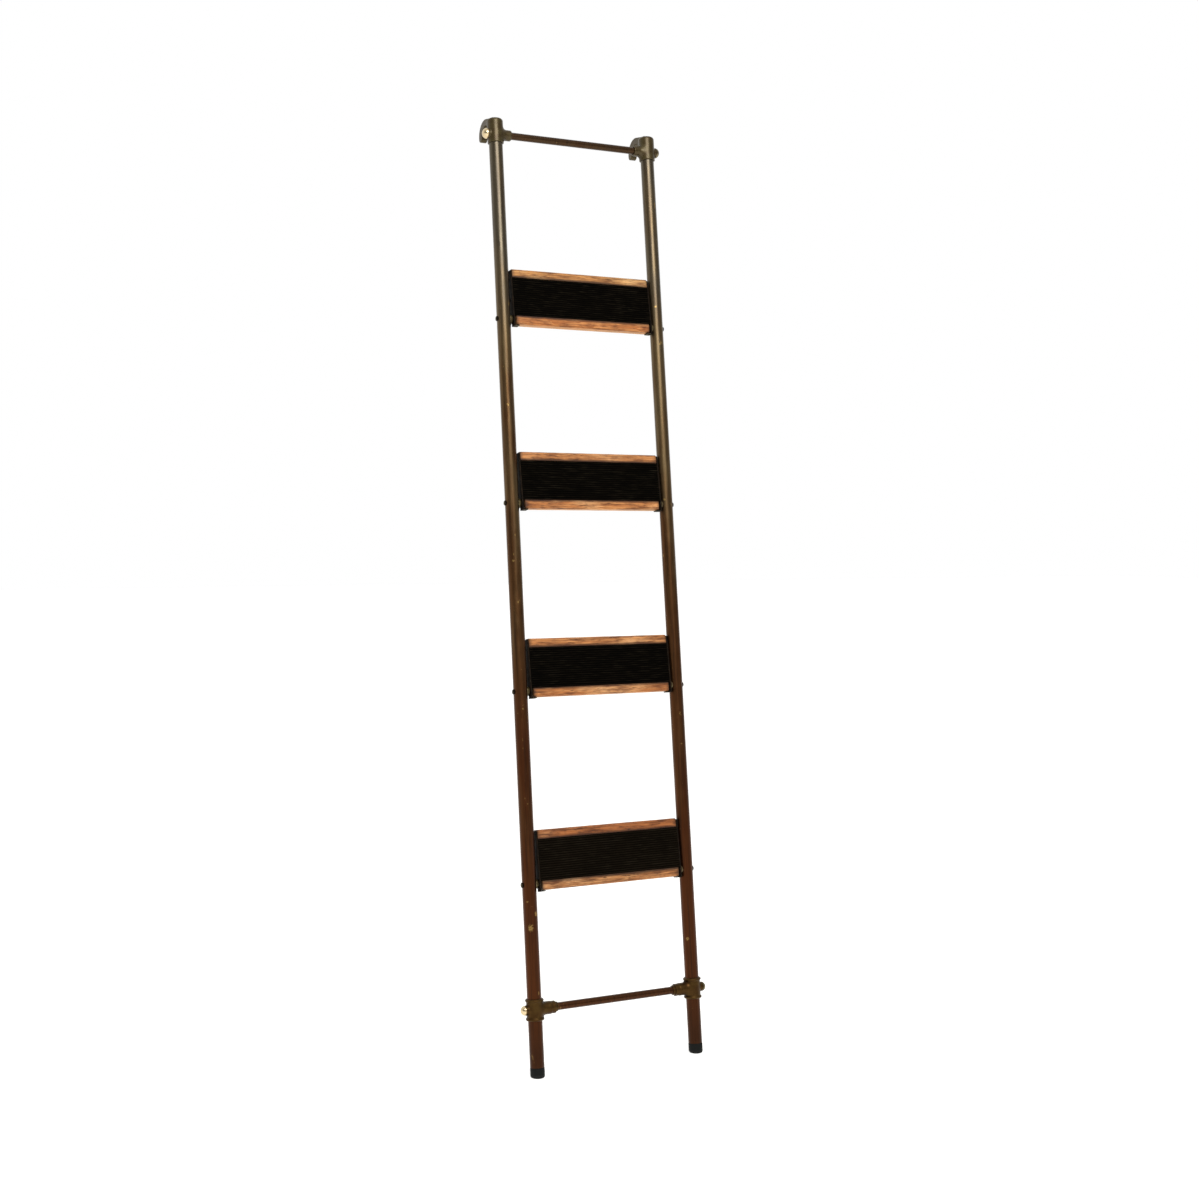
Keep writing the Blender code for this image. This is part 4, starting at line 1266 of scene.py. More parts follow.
@dataclass
class TopFitting(StilePiece):
    """The cast cap of a stile: socket, boss for the rod, pad for the screw, and hook."""

    socket_radius: float = 15 * MM
    socket_low: float = 1682.5 * MM
    socket_top: float = 1730 * MM
    socket_corner: float = 3.6 * MM
    crown_radius: float = 48 * MM
    bore_radius: float = 12.95 * MM
    bore_top: float = 1715.3 * MM
    axis_height: float = 1700 * MM
    boss_radius: float = 10 * MM
    boss_reach: float = 30 * MM
    pad_radius: float = 9.6 * MM
    pad_reach: float = 16 * MM
    seat_start: float = 20.2 * MM
    seat_radius: float = 7.0 * MM
    hook_centre: Span = (37 * MM, 1712.5 * MM)
    hook_radius: float = 27.8 * MM
    hook_crest: float = math.radians(105)
    tip_angle: float = math.radians(-6)
    tip_radius: float = 6.8 * MM
    mouth_radius: float = 17 * MM
    root_low: float = 1690 * MM
    root_front: float = -2 * MM
    root_over: float = 10 * MM
    low_corner: float = 0.9 * MM
    boss_corner: float = 1.6 * MM
    boss_fillet: float = 7 * MM
    pad_corner: float = 0.6 * MM
    pad_fillet: float = 1.5 * MM
    hook_fillet: float = 5 * MM
    half_thickness: float = 6 * MM
    worn_edge: float = 1.1 * MM
    pitch: float = 0.55 * MM

    def hook_distance(self, back: Array, up: Array) -> Array:
        """Signed distance to the hook's outline, seen from the side.

        A disc and the block behind the socket are joined, cut by the line tangent to the
        disc's crest, opened by the round mouth with its straight way down, and cut off level
        with the rounded tip.

        Args:
            back: Distance behind the stile's axis.
            up: Height along the stile.

        Returns:
            The distances.
        """
        y, z = back - self.hook_centre[0], up - self.hook_centre[1]
        disc = np.hypot(y, z) - self.hook_radius
        block = box2(back, up, (self.root_front, self.root_low),
                     (self.hook_centre[0], self.socket_top + self.root_over))
        crest = (y * math.cos(self.hook_crest) + z * math.sin(self.hook_crest)
                 - self.hook_radius)
        offset = self.hook_radius - self.tip_radius
        tip = (self.hook_centre[0] + offset * math.cos(self.tip_angle),
               self.hook_centre[1] + offset * math.sin(self.tip_angle))
        mouth = tip[0] - self.tip_radius - self.mouth_radius
        hole = np.hypot(back - mouth, up - tip[1]) - self.mouth_radius
        way = np.maximum(np.abs(back - mouth) - self.mouth_radius, up - tip[1])
        whole = np.maximum(np.minimum(disc, block), crest)
        kept = np.minimum(tip[1] - up, back - mouth + self.mouth_radius)
        bead = np.hypot(back - tip[0], up - tip[1]) - self.tip_radius
        whole = np.maximum(whole, -np.minimum(hole, way))
        return np.maximum(whole, np.minimum(kept, bead))

    def form(self, points: Array) -> Array:
        """Signed distance to the fitting before it is bored.

        The socket is a round bar under a slightly crowned cap. Boss, pad and hook are merged
        with it by fillets.

        Args:
            points: Points in the stile's frame.

        Returns:
            The distances.
        """
        e, back, up = np.moveaxis(points, -1, 0)
        out = np.hypot(e, back)
        ball = np.sqrt(out ** 2 + (up - self.socket_top + self.crown_radius) ** 2)
        upper = rounded(out - self.socket_radius, ball - self.crown_radius, self.socket_corner)
        solid = rounded(upper, self.socket_low - up, self.low_corner)
        centre = (0, 0, self.axis_height)
        boss = rod(points, 0, centre, self.boss_radius, 0, self.boss_reach, self.boss_corner)
        solid = merged(solid, boss, self.boss_fillet)
        pad = rod(points, 0, centre, self.pad_radius, -self.pad_reach, 0, self.pad_corner)
        solid = merged(solid, pad, self.pad_fillet)
        flat = self.hook_distance(back, up)
        hook = rounded(flat, np.abs(e) - self.half_thickness, self.worn_edge)
        return merged(solid, hook, self.hook_fillet)

    def distance(self, points: Array) -> Array:
        """Signed distance to the bored fitting: the form less the tube's bore and rod's seat.

        Args:
            points: Points in the stile's frame.

        Returns:
            The distances.
        """
        bore = rod(points, 2, (0, 0, 0), self.bore_radius, self.socket_low - 9 * MM,
                   self.bore_top)
        seat = rod(points, 0, (0, 0, self.axis_height), self.seat_radius, self.seat_start,
                   2 * self.boss_reach)
        return np.maximum(self.form(points), -np.minimum(bore, seat))

    def build(self) -> Skin:
        """The skin of one fitting, in a stile's frame."""
        low = (-self.pad_reach, -self.socket_radius, self.socket_low)
        high = (self.boss_reach, self.hook_centre[0] + self.hook_radius,
                self.hook_centre[1] + self.hook_radius)
        return net(self.distance, low, high, self.pitch, self.form)

    def dress(self) -> None:
        """Set a fitting on both stiles."""
        self.set_pair(self.build(), BRONZE, "hook_fitting", "top_hook_fitting")


@dataclass
class BottomTee(StilePiece):
    """The cast sleeve near a stile's foot: two beads, a stepped boss and a screw pad."""

    axis_height: float = 115.5 * MM
    half_height: float = 18.5 * MM
    sleeve_radius: float = 14.6 * MM
    bead_radius: float = 16.4 * MM
    bead_half: float = 2.5 * MM
    bore_radius: float = 12.95 * MM
    boss_radius: float = 11.3 * MM
    boss_end: float = 30 * MM
    flange_radius: float = 10.8 * MM
    flange_start: float = 24 * MM
    flange_end: float = 38.5 * MM
    neck_radius: float = 8.5 * MM
    neck_end: float = 43 * MM
    pad_radius: float = 8.6 * MM
    pad_reach: float = 18 * MM
    sleeve_corner: float = 0.8 * MM
    bead_fillet: float = 1.2 * MM
    boss_corner: float = 1.2 * MM
    boss_fillet: float = 6 * MM
    flange_corner: float = 1.1 * MM
    flange_fillet: float = 0.8 * MM
    neck_corner: float = 1.0 * MM
    neck_fillet: float = 1.2 * MM
    pad_corner: float = 0.6 * MM
    pad_fillet: float = 2.5 * MM
    seat_start: float = 31.7 * MM
    seat_radius: float = 7.0 * MM
    pitch: float = 0.5 * MM

    def form(self, points: Array) -> Array:
        """Signed distance to the tee before it is bored.

        The sleeve, its beads (rings of a rounded section), boss, flange, neck and pad are
        merged with fillets.

        Args:
            points: Points in the stile's frame.

        Returns:
            The distances.
        """
        e, back, up = np.moveaxis(points, -1, 0)
        out = np.hypot(e, back)
        level = up - self.axis_height
        sleeve = rounded(out - self.sleeve_radius, np.abs(level) - self.half_height,
                         self.sleeve_corner)
        ring = self.half_height - self.bead_half
        bead = np.hypot(out - self.bead_radius + self.bead_half,
                        np.abs(level) - ring) - self.bead_half
        solid = merged(sleeve, bead, self.bead_fillet)
        centre = (0, 0, self.axis_height)
        for radius, low, high, corner, fillet in (
                (self.boss_radius, 0, self.boss_end, self.boss_corner, self.boss_fillet),
                (self.flange_radius, self.flange_start, self.flange_end, self.flange_corner,
                 self.flange_fillet),
                (self.neck_radius, 0, self.neck_end, self.neck_corner, self.neck_fillet),
                (self.pad_radius, -self.pad_reach, 0, self.pad_corner, self.pad_fillet)):
            solid = merged(solid, rod(points, 0, centre, radius, low, high, corner), fillet)
        return solid

    def distance(self, points: Array) -> Array:
        """Signed distance to the bored tee: the form less the tube's bore and the rod's seat.

        Args:
            points: Points in the stile's frame.

        Returns:
            The distances.
        """
        bore = rod(points, 2, (0, 0, 0), self.bore_radius, 0, 2 * self.axis_height)
        seat = rod(points, 0, (0, 0, self.axis_height), self.seat_radius, self.seat_start,
                   2 * self.neck_end)
        return np.maximum(self.form(points), -np.minimum(bore, seat))

    def build(self) -> Skin:
        """The skin of one tee, in a stile's frame."""
        low = (-self.pad_reach, -self.bead_radius, self.axis_height - self.half_height)
        high = (self.neck_end, self.bead_radius, self.axis_height + self.half_height)
        return net(self.distance, low, high, self.pitch, self.form)

    def dress(self) -> None:
        """Set a tee on both stiles."""
        self.set_pair(self.build(), TEE_BRONZE, "sleeve_tee", "bottom_tee")


@dataclass
class TieRod:
    """A tie rod with the domed screws that hold it at both ends."""

    ladder: LadderFrame
    level: Level
    height: float
    start: float
    pad_reach: float
    dome_radius: float
    dome_height: float
    radius: float = 6.75 * MM
    chamfer: float = 0.5 * MM
    shank_radius: float = 4 * MM
    shank_length: float = 17 * MM
    gap: float = 0.3 * MM
    dome_foot: float = 0.8 * MM
    dome_corner: float = 0.3 * MM
    tarnish_height: float = 2.2 * MM
    pitch: float = 5 * MM

    def build_rod(self) -> Skin:
        """The bar: a turned profile with rounded ends, laid along X."""
        half = self.ladder.half_spacing - self.start
        ticks = rounded_ticks(-half, half, self.chamfer, self.pitch, 4)
        side = np.stack([self.radius - fall(ticks, -half, half, self.chamfer), ticks], -1)
        profile = np.concatenate([[(0, -half)], side, [(0, half)]])
        skin = turned(profile, 40)
        return skin.moved(lambda p: np.stack([p[:, 2], p[:, 1], -p[:, 0]], axis=-1))

    def build_screw(self) -> Skin:
        """The screw along Z, dome up: a quarter of an ellipse over a short cylindrical foot."""
        foot, corner = self.dome_foot, self.dome_corner
        angle = np.linspace(0, math.pi / 2, 18)
        dome = np.stack([self.dome_radius * np.cos(angle),
                         foot + (self.dome_height - foot) * np.sin(angle)], axis=-1)
        dome[-1, 0] = 0
        edge = arc((self.dome_radius - corner, corner), corner, -90, 0, 4)
        length = self.shank_length + self.pad_reach + self.start
        profile = np.concatenate([[(0, -length), (self.shank_radius, -length),
                                   (self.shank_radius, 0)], edge, dome])
        skin = turned(profile, 48)
        skin.hollow = np.clip(1 - skin.points[:, 2] / self.tarnish_height, 0, 1)
        return skin

    def dress(self) -> None:
        """Place the rod between its bosses and a screw on each outer pad."""
        label = self.level.value
        lift = np.array([0, 0, self.height])
        bar = self.build_rod()
        placed = bar.moved(lambda points: self.ladder.root.place(points + lift))
        show(f"rod_{label}", placed, bar.points + 2 * lift * [0, 0, 0.4], ROD, "frame",
             f"{label}_tie_rod")
        for side in Side:
            screw = self.build_screw()
            reach = self.ladder.half_spacing + self.pad_reach + self.gap

            def outward(p: Array, s: int = side.value, r: float = reach) -> Array:
                """Point Z away from the ladder's middle, at the pad's face."""
                turned_out = np.stack([s * (p[:, 2] + r), p[:, 1], -s * p[:, 0]], axis=-1)
                return self.ladder.root.place(turned_out + lift)

            # The right-hand domes take the darker brass, which is painted shade.
            show(f"dome_screw_{label}_{side.label}", screw.moved(outward),
                 screw.points + [0.1 * side.value, 0, self.height],
                 BRASS if side is Side.LEFT else SHADED_SIDE_BRASS, "frame",
                 f"rod_screw_{label}_{side.label}")


@dataclass
class Board:
    """One wooden board and the ribbed mat in its rebate, in a turning step's frame."""

    ladder: LadderFrame
    index: int
    front: float = -12 * MM
    back: float = 6 * MM
    low: float = -12 * MM
    high: float = 94 * MM
    inset: float = 18.5 * MM
    corner: float = 4 * MM
    end_corner: float = 1.6 * MM
    margin: float = 16.5 * MM
    notch_inset: float = 21.3 * MM
    notch_high: float = 9.5 * MM
    mat_depth: float = 2.6 * MM
    mat_stand: float = 0.2 * MM
    rib_count: int = 18
    rib_height: float = 0.9 * MM
    gap: float = 0.3 * MM
    wear: float = 0.16 * MM
    shrink: float = 0.25 * MM
    mat_wear: float = 0.12 * MM
    # Widths of the darkening at the board's ends (dirt and painted shade) and along the mat's edge
    # (painted shade).
    end_soil: float = 9 * MM
    seam_shade_width: float = 5 * MM

    @property
    def half(self) -> float:
        """Half the board's length."""
        return self.ladder.half_spacing - self.inset

    def build_board(self) -> Skin:
        """The wood: two sheets over the board's length and depth.

        The front falls back by a quarter circle along each edge and end, steps back into the
        rebate between the margins, and is worn by slow waves that are strongest on the edges.
        The ends draw in below the notch height, where the knuckles are.
        """
        draw_in = self.notch_inset - self.inset
        rise = rounded_ticks(self.low, self.high, self.corner, 1.6 * MM, 9)
        steps = [self.low + self.margin, self.high - self.margin]
        bend = np.array([-0.5, -0.25, -0.08, 0.08, 0.25, 0.5]) * MM
        near = np.concatenate([step + bend for step in steps])
        notch = self.notch_high + np.array([-0.3, 0.3]) * MM
        z = np.unique(np.round(np.concatenate([rise, near, notch]), 7))[:, None]
        x = rounded_ticks(-self.half, self.half, self.end_corner, 1.8 * MM, 5)[None, :]
        inside = np.minimum(z - steps[0], steps[1] - z)
        rebate = self.mat_depth * np.clip(0.5 + inside / (0.3 * MM), 0, 1)
        edge = fall(z, self.low, self.high, self.corner)
        end = fall(x, -self.half, self.half, self.end_corner)
        wear = waves(x, z, 40 + self.index, 0.03) + 0.5 * waves(x, z, 60 + self.index, 0.009)
        rub = np.clip(edge / self.corner, 0, 1) + 0.15
        y_front = self.front + np.maximum(edge + end, rebate) + self.wear * (1 + wear) * rub
        y_back = self.back - edge - end + 0 * x
        reach = self.half - draw_in * np.clip(0.5 + (self.notch_high - z) / (0.5 * MM), 0, 1)
        out = x * reach / self.half
        level = z + self.shrink * np.where(z > 0.5 * self.high, -1, 1) * (
            1 + waves(x, z, 80 + self.index, 0.05)) * np.clip(edge / self.corner, 0, 1)
        level = level + 0 * x
        skin = slab(np.stack([out, y_front, level], -1), np.stack([out, y_back, level], -1))
        bare = np.clip(np.maximum(edge / self.corner, end / self.end_corner), 0, 1)
        # Darker towards the ends by the brackets (dirt and painted shade) and along the seam with
        # the mat (painted shade).
        ends = np.clip(1 - (self.half - np.abs(x)) / self.end_soil, 0, 1) * 0.85 + 0 * z
        painted_seam_shade = np.clip(1.25 - np.abs(inside) / self.seam_shade_width, 0, 1)
        dirt_and_shade_mask = np.maximum(ends, np.maximum(painted_seam_shade, rebate / self.mat_depth))
        skin.edge = np.concatenate([bare.ravel(), bare.ravel()])
        skin.hollow = np.concatenate([dirt_and_shade_mask.ravel(), ends.ravel()])
        return skin

    def build_mat(self) -> Skin:
        """The rubber: a flat back sheet, and a front sheet with even rounded ribs.

        The front's height over a rib is a squared cosine of the rib phase, flattened at the
        crest, with slow waves where the rubber has crept and worn.
        """
        low = self.low + self.margin + self.gap
        high = self.high - self.margin - self.gap
        back = self.front + self.mat_depth - self.gap
        z = np.linspace(low, high, self.rib_count * 12 + 1)[:, None]
        x = rounded_ticks(-self.half, self.half, 0.8 * MM, 3 * MM, 5)[None, :]
        phase = (z - low) / (high - low) * self.rib_count
        rib = np.clip(1.35 * np.sin(math.pi * phase) ** 2, 0, 1)
        worn = self.mat_wear * (1 + waves(x, z, 90 + self.index, 0.06))
        crest = self.front - self.mat_stand + worn
        end = fall(x, -self.half, self.half, 0.8 * MM)
        y_front = crest + self.rib_height * (1 - rib) + end
        level = z + self.shrink * waves(x, z * 0, 20 + self.index, 0.09)
        level = np.clip(level, low, high)
        out = x + 0 * z
        skin = slab(np.stack([out, y_front, level], -1),
                    np.stack([out, back + 0 * out, level], -1))
        skin.edge = np.concatenate([(rib + 0 * x).ravel(), (0 * out).ravel()])
        skin.hollow = np.concatenate([(1 - rib + 0 * x).ravel(), (0 * out).ravel()])
        return skin

    def dress(self) -> None:
        """Place the board and its mat on their step, with patterns that differ by step."""
        placing = self.ladder.turning_step(self.index)
        body = self.ladder.bodies[self.index]
        number = self.index + 1
        apart = np.array([0.53 * self.index, 0.004 * self.index, 0.017 * (self.index % 3)])
        for name, skin, finish, node in (
                (f"board_{number}", self.build_board(), BOARD_FINISHES[self.index],
                 f"step_{number}_board"),
                (f"mat_{number}", self.build_mat(), DUSTY if number == 1 else RUBBER,
                 f"step_{number}_mat")):
            show(name, skin.moved(placing.place), skin.points + apart, finish, body, node)


@dataclass
class Bracket(StilePiece):
    """A step's end plate with its knuckle and lip, and its two wood screws."""

    plate_start: float = 15.5 * MM
    plate_end: float = 18.2 * MM
    front: float = -11.5 * MM
    back: float = 5.5 * MM
    high: float = 92 * MM
    toe: float = -13.8 * MM
    corner: float = 4 * MM
    pivot_radius: float = 8.5 * MM
    knuckle_radius: float = 8 * MM
    knuckle_end: float = 21 * MM
    lip_end: float = 27 * MM
    lip_back: float = 2 * MM
    lip_top: float = -12.3 * MM
    hole_radius: float = 3.3 * MM
    screw_heights: Span = (36 * MM, 74 * MM)
    screw_depth: float = -3 * MM
    screw_head: float = 3.9 * MM
    screw_sink: float = 2 * MM
    screw_shank: float = 2 * MM
    screw_length: float = 20 * MM
    screw_face: float = 0.12 * MM
    slot_depth: float = 0.8 * MM
    slot_half: float = 0.55 * MM
    clearance: float = 0.3 * MM
    stand_off: float = 0.25 * MM
    worn_edge: float = 0.45 * MM
    pitch: float = 0.5 * MM

    def distance(self, points: Array) -> Array:
        """Signed distance to the bracket.

        The plate's outline joins a long rounded rectangle, a disc round the pivot and the
        toe; the knuckle and the lip are merged with it; the pivot hole and the countersinks
        are cut out.

        Args:
            points: Points in a stile's frame on the pivot.

        Returns:
            The distances.
        """
        e, y, z = np.moveaxis(points, -1, 0)
        long = box2(y, z, (self.front, -4 * MM), (self.back, self.high), self.corner)
        disc = np.hypot(y, z) - self.pivot_radius
        toe = box2(y, z, (self.front, self.toe), (0, 8 * MM), 0.8 * MM)
        outline = merged(np.minimum(long, disc), toe, 1.5 * MM)
        middle = (self.plate_start + self.plate_end) / 2
        half = (self.plate_end - self.plate_start) / 2
        plate = rounded(outline, np.abs(e - middle) - half, self.worn_edge)
        knuckle = rod(points, 0, (0, 0, 0), self.knuckle_radius, self.plate_start,
                      self.knuckle_end, 0.7 * MM)
        tongue = box2(e, y, (self.plate_start, self.front), (self.lip_end, self.lip_back), 2 * MM)
        lip = rounded(tongue, np.abs(z - (self.toe + self.lip_top) / 2)
                      - (self.lip_top - self.toe) / 2, 0.4 * MM)
        solid = merged(merged(plate, knuckle, 1.2 * MM), lip, 1.0 * MM)
        cuts = np.hypot(y, z) - self.hole_radius
        wide, narrow = self.screw_head + self.clearance, self.screw_shank + self.clearance
        for height in self.screw_heights:
            out = np.hypot(y - self.screw_depth, z - height)
            cone = out - np.clip(wide - (e - self.plate_start), narrow, wide)
            cuts = np.minimum(cuts, 0.7 * cone)
        return np.maximum(solid, -cuts)

    def build(self) -> Skin:
        """The skin of one bracket, in a stile's frame on the pivot."""
        low = (self.plate_start, self.front, self.toe)
        high = (self.lip_end, self.pivot_radius, self.high)
        return net(self.distance, low, high, self.pitch, reach=1.3 * MM)

    def build_screw(self) -> Skin:
        """A countersunk wood screw along Z, head up, with a straight slot.

        The head's flat face drops by the slot's depth where the distance from the slot's
        middle line is under half its width.
        """
        head, shank = self.screw_head, self.screw_shank
        radii = np.linspace(head - 0.25 * MM, 0.15 * MM, 9)
        face = np.stack([radii, self.screw_face * (1 - (radii / head) ** 2)], axis=-1)
        tip = -self.screw_length
        thread = [(0, tip), (0.5 * MM, 1.5 * MM + tip), (shank * 0.8, 6 * MM + tip)]
        neck = [(shank, -self.screw_sink - 4 * MM), (shank, -self.screw_sink)]
        rim = [(head, -0.2 * MM), (head, -0.08 * MM)]
        profile = np.concatenate([thread, neck, rim, face, [(0, self.screw_face)]])
        skin = turned(profile, 48)
        top = skin.points[:, 2] > -0.05 * MM
        slot = np.clip((self.slot_half - np.abs(skin.points[:, 1])) / (0.12 * MM), 0, 1)
        skin.points[:, 2] -= np.where(top, self.slot_depth * slot, 0)
        skin.hollow = np.where(top, slot, 0)
        return skin

    def seated(self, screw: Skin, spin: float, height: float) -> Skin:
        """Turn a screw about its own axis and lay it in its countersink, head outward.

        Args:
            screw: The screw along Z.
            spin: Angle that its slot is left at.
            height: Height of its hole above the pivot.

        Returns:
            The screw in a stile's frame on the pivot.
        """
        cos, sin = math.cos(spin), math.sin(spin)

        def change(p: Array) -> Array:
            """Spin about Z, then point Z out of the plate at the hole."""
            y = p[:, 0] * sin + p[:, 1] * cos + self.screw_depth
            z = p[:, 0] * cos - p[:, 1] * sin + height
            return np.stack([self.plate_start - p[:, 2] + self.stand_off, y, z], axis=-1)

        return screw.moved(change)

    def dress(self) -> None:
        """Set a bracket and its screws on both ends of every step."""
        skin, screw = self.build(), self.build_screw()
        for index, body in enumerate(self.ladder.bodies):
            placing = self.ladder.turning_step(index)
            for side in Side:
                apart = [0.2 * side.value, 0.15 * index, 0]
                label = f"{index + 1}_{side.label}"
                show(f"bracket_{label}", self.set_on(side, placing, skin), skin.points + apart,
                     DARK, body, f"step_{index + 1}_bracket_{side.label}")
                for place, height in zip(("lower", "upper"), self.screw_heights):
                    spin = 0.9 * index + 0.7 * side.value + 11 * height / MM
                    placed = self.set_on(side, placing, self.seated(screw, spin, height))
                    show(f"wood_screw_{label}_{place}", placed, screw.points + apart, DARK,
                         body, None)


@dataclass
class PivotSet(StilePiece):
    """What stays on the stiles at a pivot: the saddle with its stop lug, the bolt, the nut."""

    stile_radius: float = 12.7 * MM
    seat_gap: float = 0.1 * MM
    saddle_radius: float = 8 * MM
    saddle_end: float = 15.2 * MM
    root: float = 8.6 * MM
    lug_radius: float = 2.5 * MM
    lug_end: float = 18 * MM
    lug_reach: float = 8 * MM
    open_angle: float = math.radians(80)
    plate_back: float = 5.5 * MM
    web_half: float = 2 * MM
    hole_radius: float = 3.3 * MM
    bolt_radius: float = 3 * MM
    bolt_end: float = 26.2 * MM
    head_radius: float = 4.7 * MM
    head_height: float = 2.6 * MM
    nut_start: float = 21.5 * MM
    nut_flat: float = 5.0 * MM
    nut_rises: tuple[float, ...] = (0, 0.3, 0.8, 3.3, 3.8, 4.1)
    nut_columns: int = 72
    room: float = 0.3 * MM
    web_corner: float = 0.4 * MM
    dome_foot: float = 0.5 * MM
    lug_room: float = 14 * MM
    pitch: float = 0.42 * MM

    def distance(self, points: Array) -> Array:
        """Signed distance to the saddle.

        The round boss flares where it meets the tube, the lug hangs from it by a web, and
        the tube and the bolt hole are cut out.

        Args:
            points: Points in a stile's frame on the pivot.

        Returns:
            The distances.
        """
        e, y, z = np.moveaxis(points, -1, 0)
        boss = rod(points, 0, (0, 0, 0), self.saddle_radius, self.root - 4 * MM,
                   self.saddle_end, 0.6 * MM)
        offset = self.plate_back + self.lug_radius + self.room
        cos, sin = math.cos(self.open_angle), math.sin(self.open_angle)
        lug_y, lug_z = self.lug_reach * sin + offset * cos, self.lug_reach * cos - offset * sin
        lug = rod(points, 0, (0, lug_y, lug_z), self.lug_radius, self.root, self.lug_end,
                  0.5 * MM)
        length = math.hypot(lug_y, lug_z)
        along = (y * lug_y + z * lug_z) / length
        aside = (y * lug_z - z * lug_y) / length
        bar = np.maximum(np.abs(aside) - self.web_half, np.abs(along - length / 2) - length / 2)
        web = rounded(bar, np.maximum(self.root - e, e - self.saddle_end + self.web_corner),
                      self.web_corner)
        solid = merged(merged(boss, web, 1.5 * MM), lug, 1.0 * MM)
        tube = np.hypot(e, y) - self.stile_radius - self.seat_gap
        hole = np.hypot(y, z) - self.hole_radius
        return np.maximum(solid, -np.minimum(tube, hole))

    def build_saddle(self) -> Skin:
        """The skin of one saddle, in a stile's frame on the pivot."""
        low = (self.root, -self.saddle_radius, -self.lug_room)
        high = (self.lug_end, self.lug_room, self.saddle_radius)
        return net(self.distance, low, high, self.pitch, reach=1.3 * MM)

    def build_bolt(self) -> Skin:
        """The bolt along Z: shank below, low dome of a quarter ellipse above."""
        foot = self.dome_foot
        angle = np.linspace(0, math.pi / 2, 12)
        dome = np.stack([self.head_radius * np.cos(angle),
                         foot + (self.head_height - foot) * np.sin(angle)], axis=-1)
        dome[-1, 0] = 0
        length = self.stile_radius + self.bolt_end
        profile = np.concatenate([[(0, -length), (self.bolt_radius - 0.4 * MM, -length),
                                   (self.bolt_radius, 0.4 * MM - length), (self.bolt_radius, 0),
                                   (self.head_radius - 0.2 * MM, 0),
                                   (self.head_radius, 0.2 * MM)], dome])
        skin = turned(profile, 36)
        skin.edge = np.clip(skin.points[:, 2] / self.head_height, 0, 1)
        return skin

    def build_nut(self) -> Skin:
        """The nut along Z: a hexagon whose corners are cut by a cone at both faces.

        The radius at angle a is the flat's distance over the cosine of the angle to the
        nearest flat, limited by the cone.
        """
        rise = np.array(self.nut_rises) * MM
        columns = self.nut_columns
        angle = np.arange(columns)[None, :] * (2 * math.pi / columns)
        sector = math.pi / 3
        near = np.mod(angle + sector / 2, sector) - sector / 2
        corner = self.nut_flat / np.cos(near)
        end = np.minimum(rise, rise[-1] - rise)[:, None]
        radius = np.minimum(corner, self.nut_flat + 0.1 * MM + 1.8 * end)
        outer = np.stack([radius * np.cos(angle), radius * np.sin(angle),
                          rise[:, None] + 0 * angle], axis=-1)
        inner = np.stack([self.hole_radius * np.cos(angle) + 0 * end,
                          self.hole_radius * np.sin(angle) + 0 * end,
                          rise[::-1, None] + 0 * angle], axis=-1)
        points = np.concatenate([outer, inner]).reshape(-1, 3)
        rows = 2 * len(rise)
        faces = grid_faces(rows + 1, columns, True) % (rows * columns)
        return Skin(points, [faces])

    def dress(self) -> None:
        """Set a saddle, a bolt and a nut at every pivot."""
        saddle, bolt, nut = self.build_saddle(), self.build_bolt(), self.build_nut()
        seat, start = self.stile_radius + self.room, self.nut_start
        turned_bolt = bolt.moved(lambda p: np.stack([-p[:, 2] - seat, p[:, 1], p[:, 0]], -1))
        turned_nut = nut.moved(lambda p: np.stack([p[:, 2] + start, p[:, 1], -p[:, 0]], -1))
        pieces = (("saddle", saddle, BRONZE), ("pivot_bolt", turned_bolt, DARK),
                  ("pivot_nut", turned_nut, DARK))
        for index in range(len(self.ladder.pivots)):
            placing = self.ladder.fixed_step(index)
            for side in Side:
                apart = [0.2 * side.value, 0.15 * index, 0]
                for word, skin, finish in pieces:
                    show(f"{word}_{index + 1}_{side.label}", self.set_on(side, placing, skin),
                         skin.points + apart, finish, "frame",
                         f"step_{index + 1}_{word}_{side.label}")


# ---------------------------------------------------------------- studio


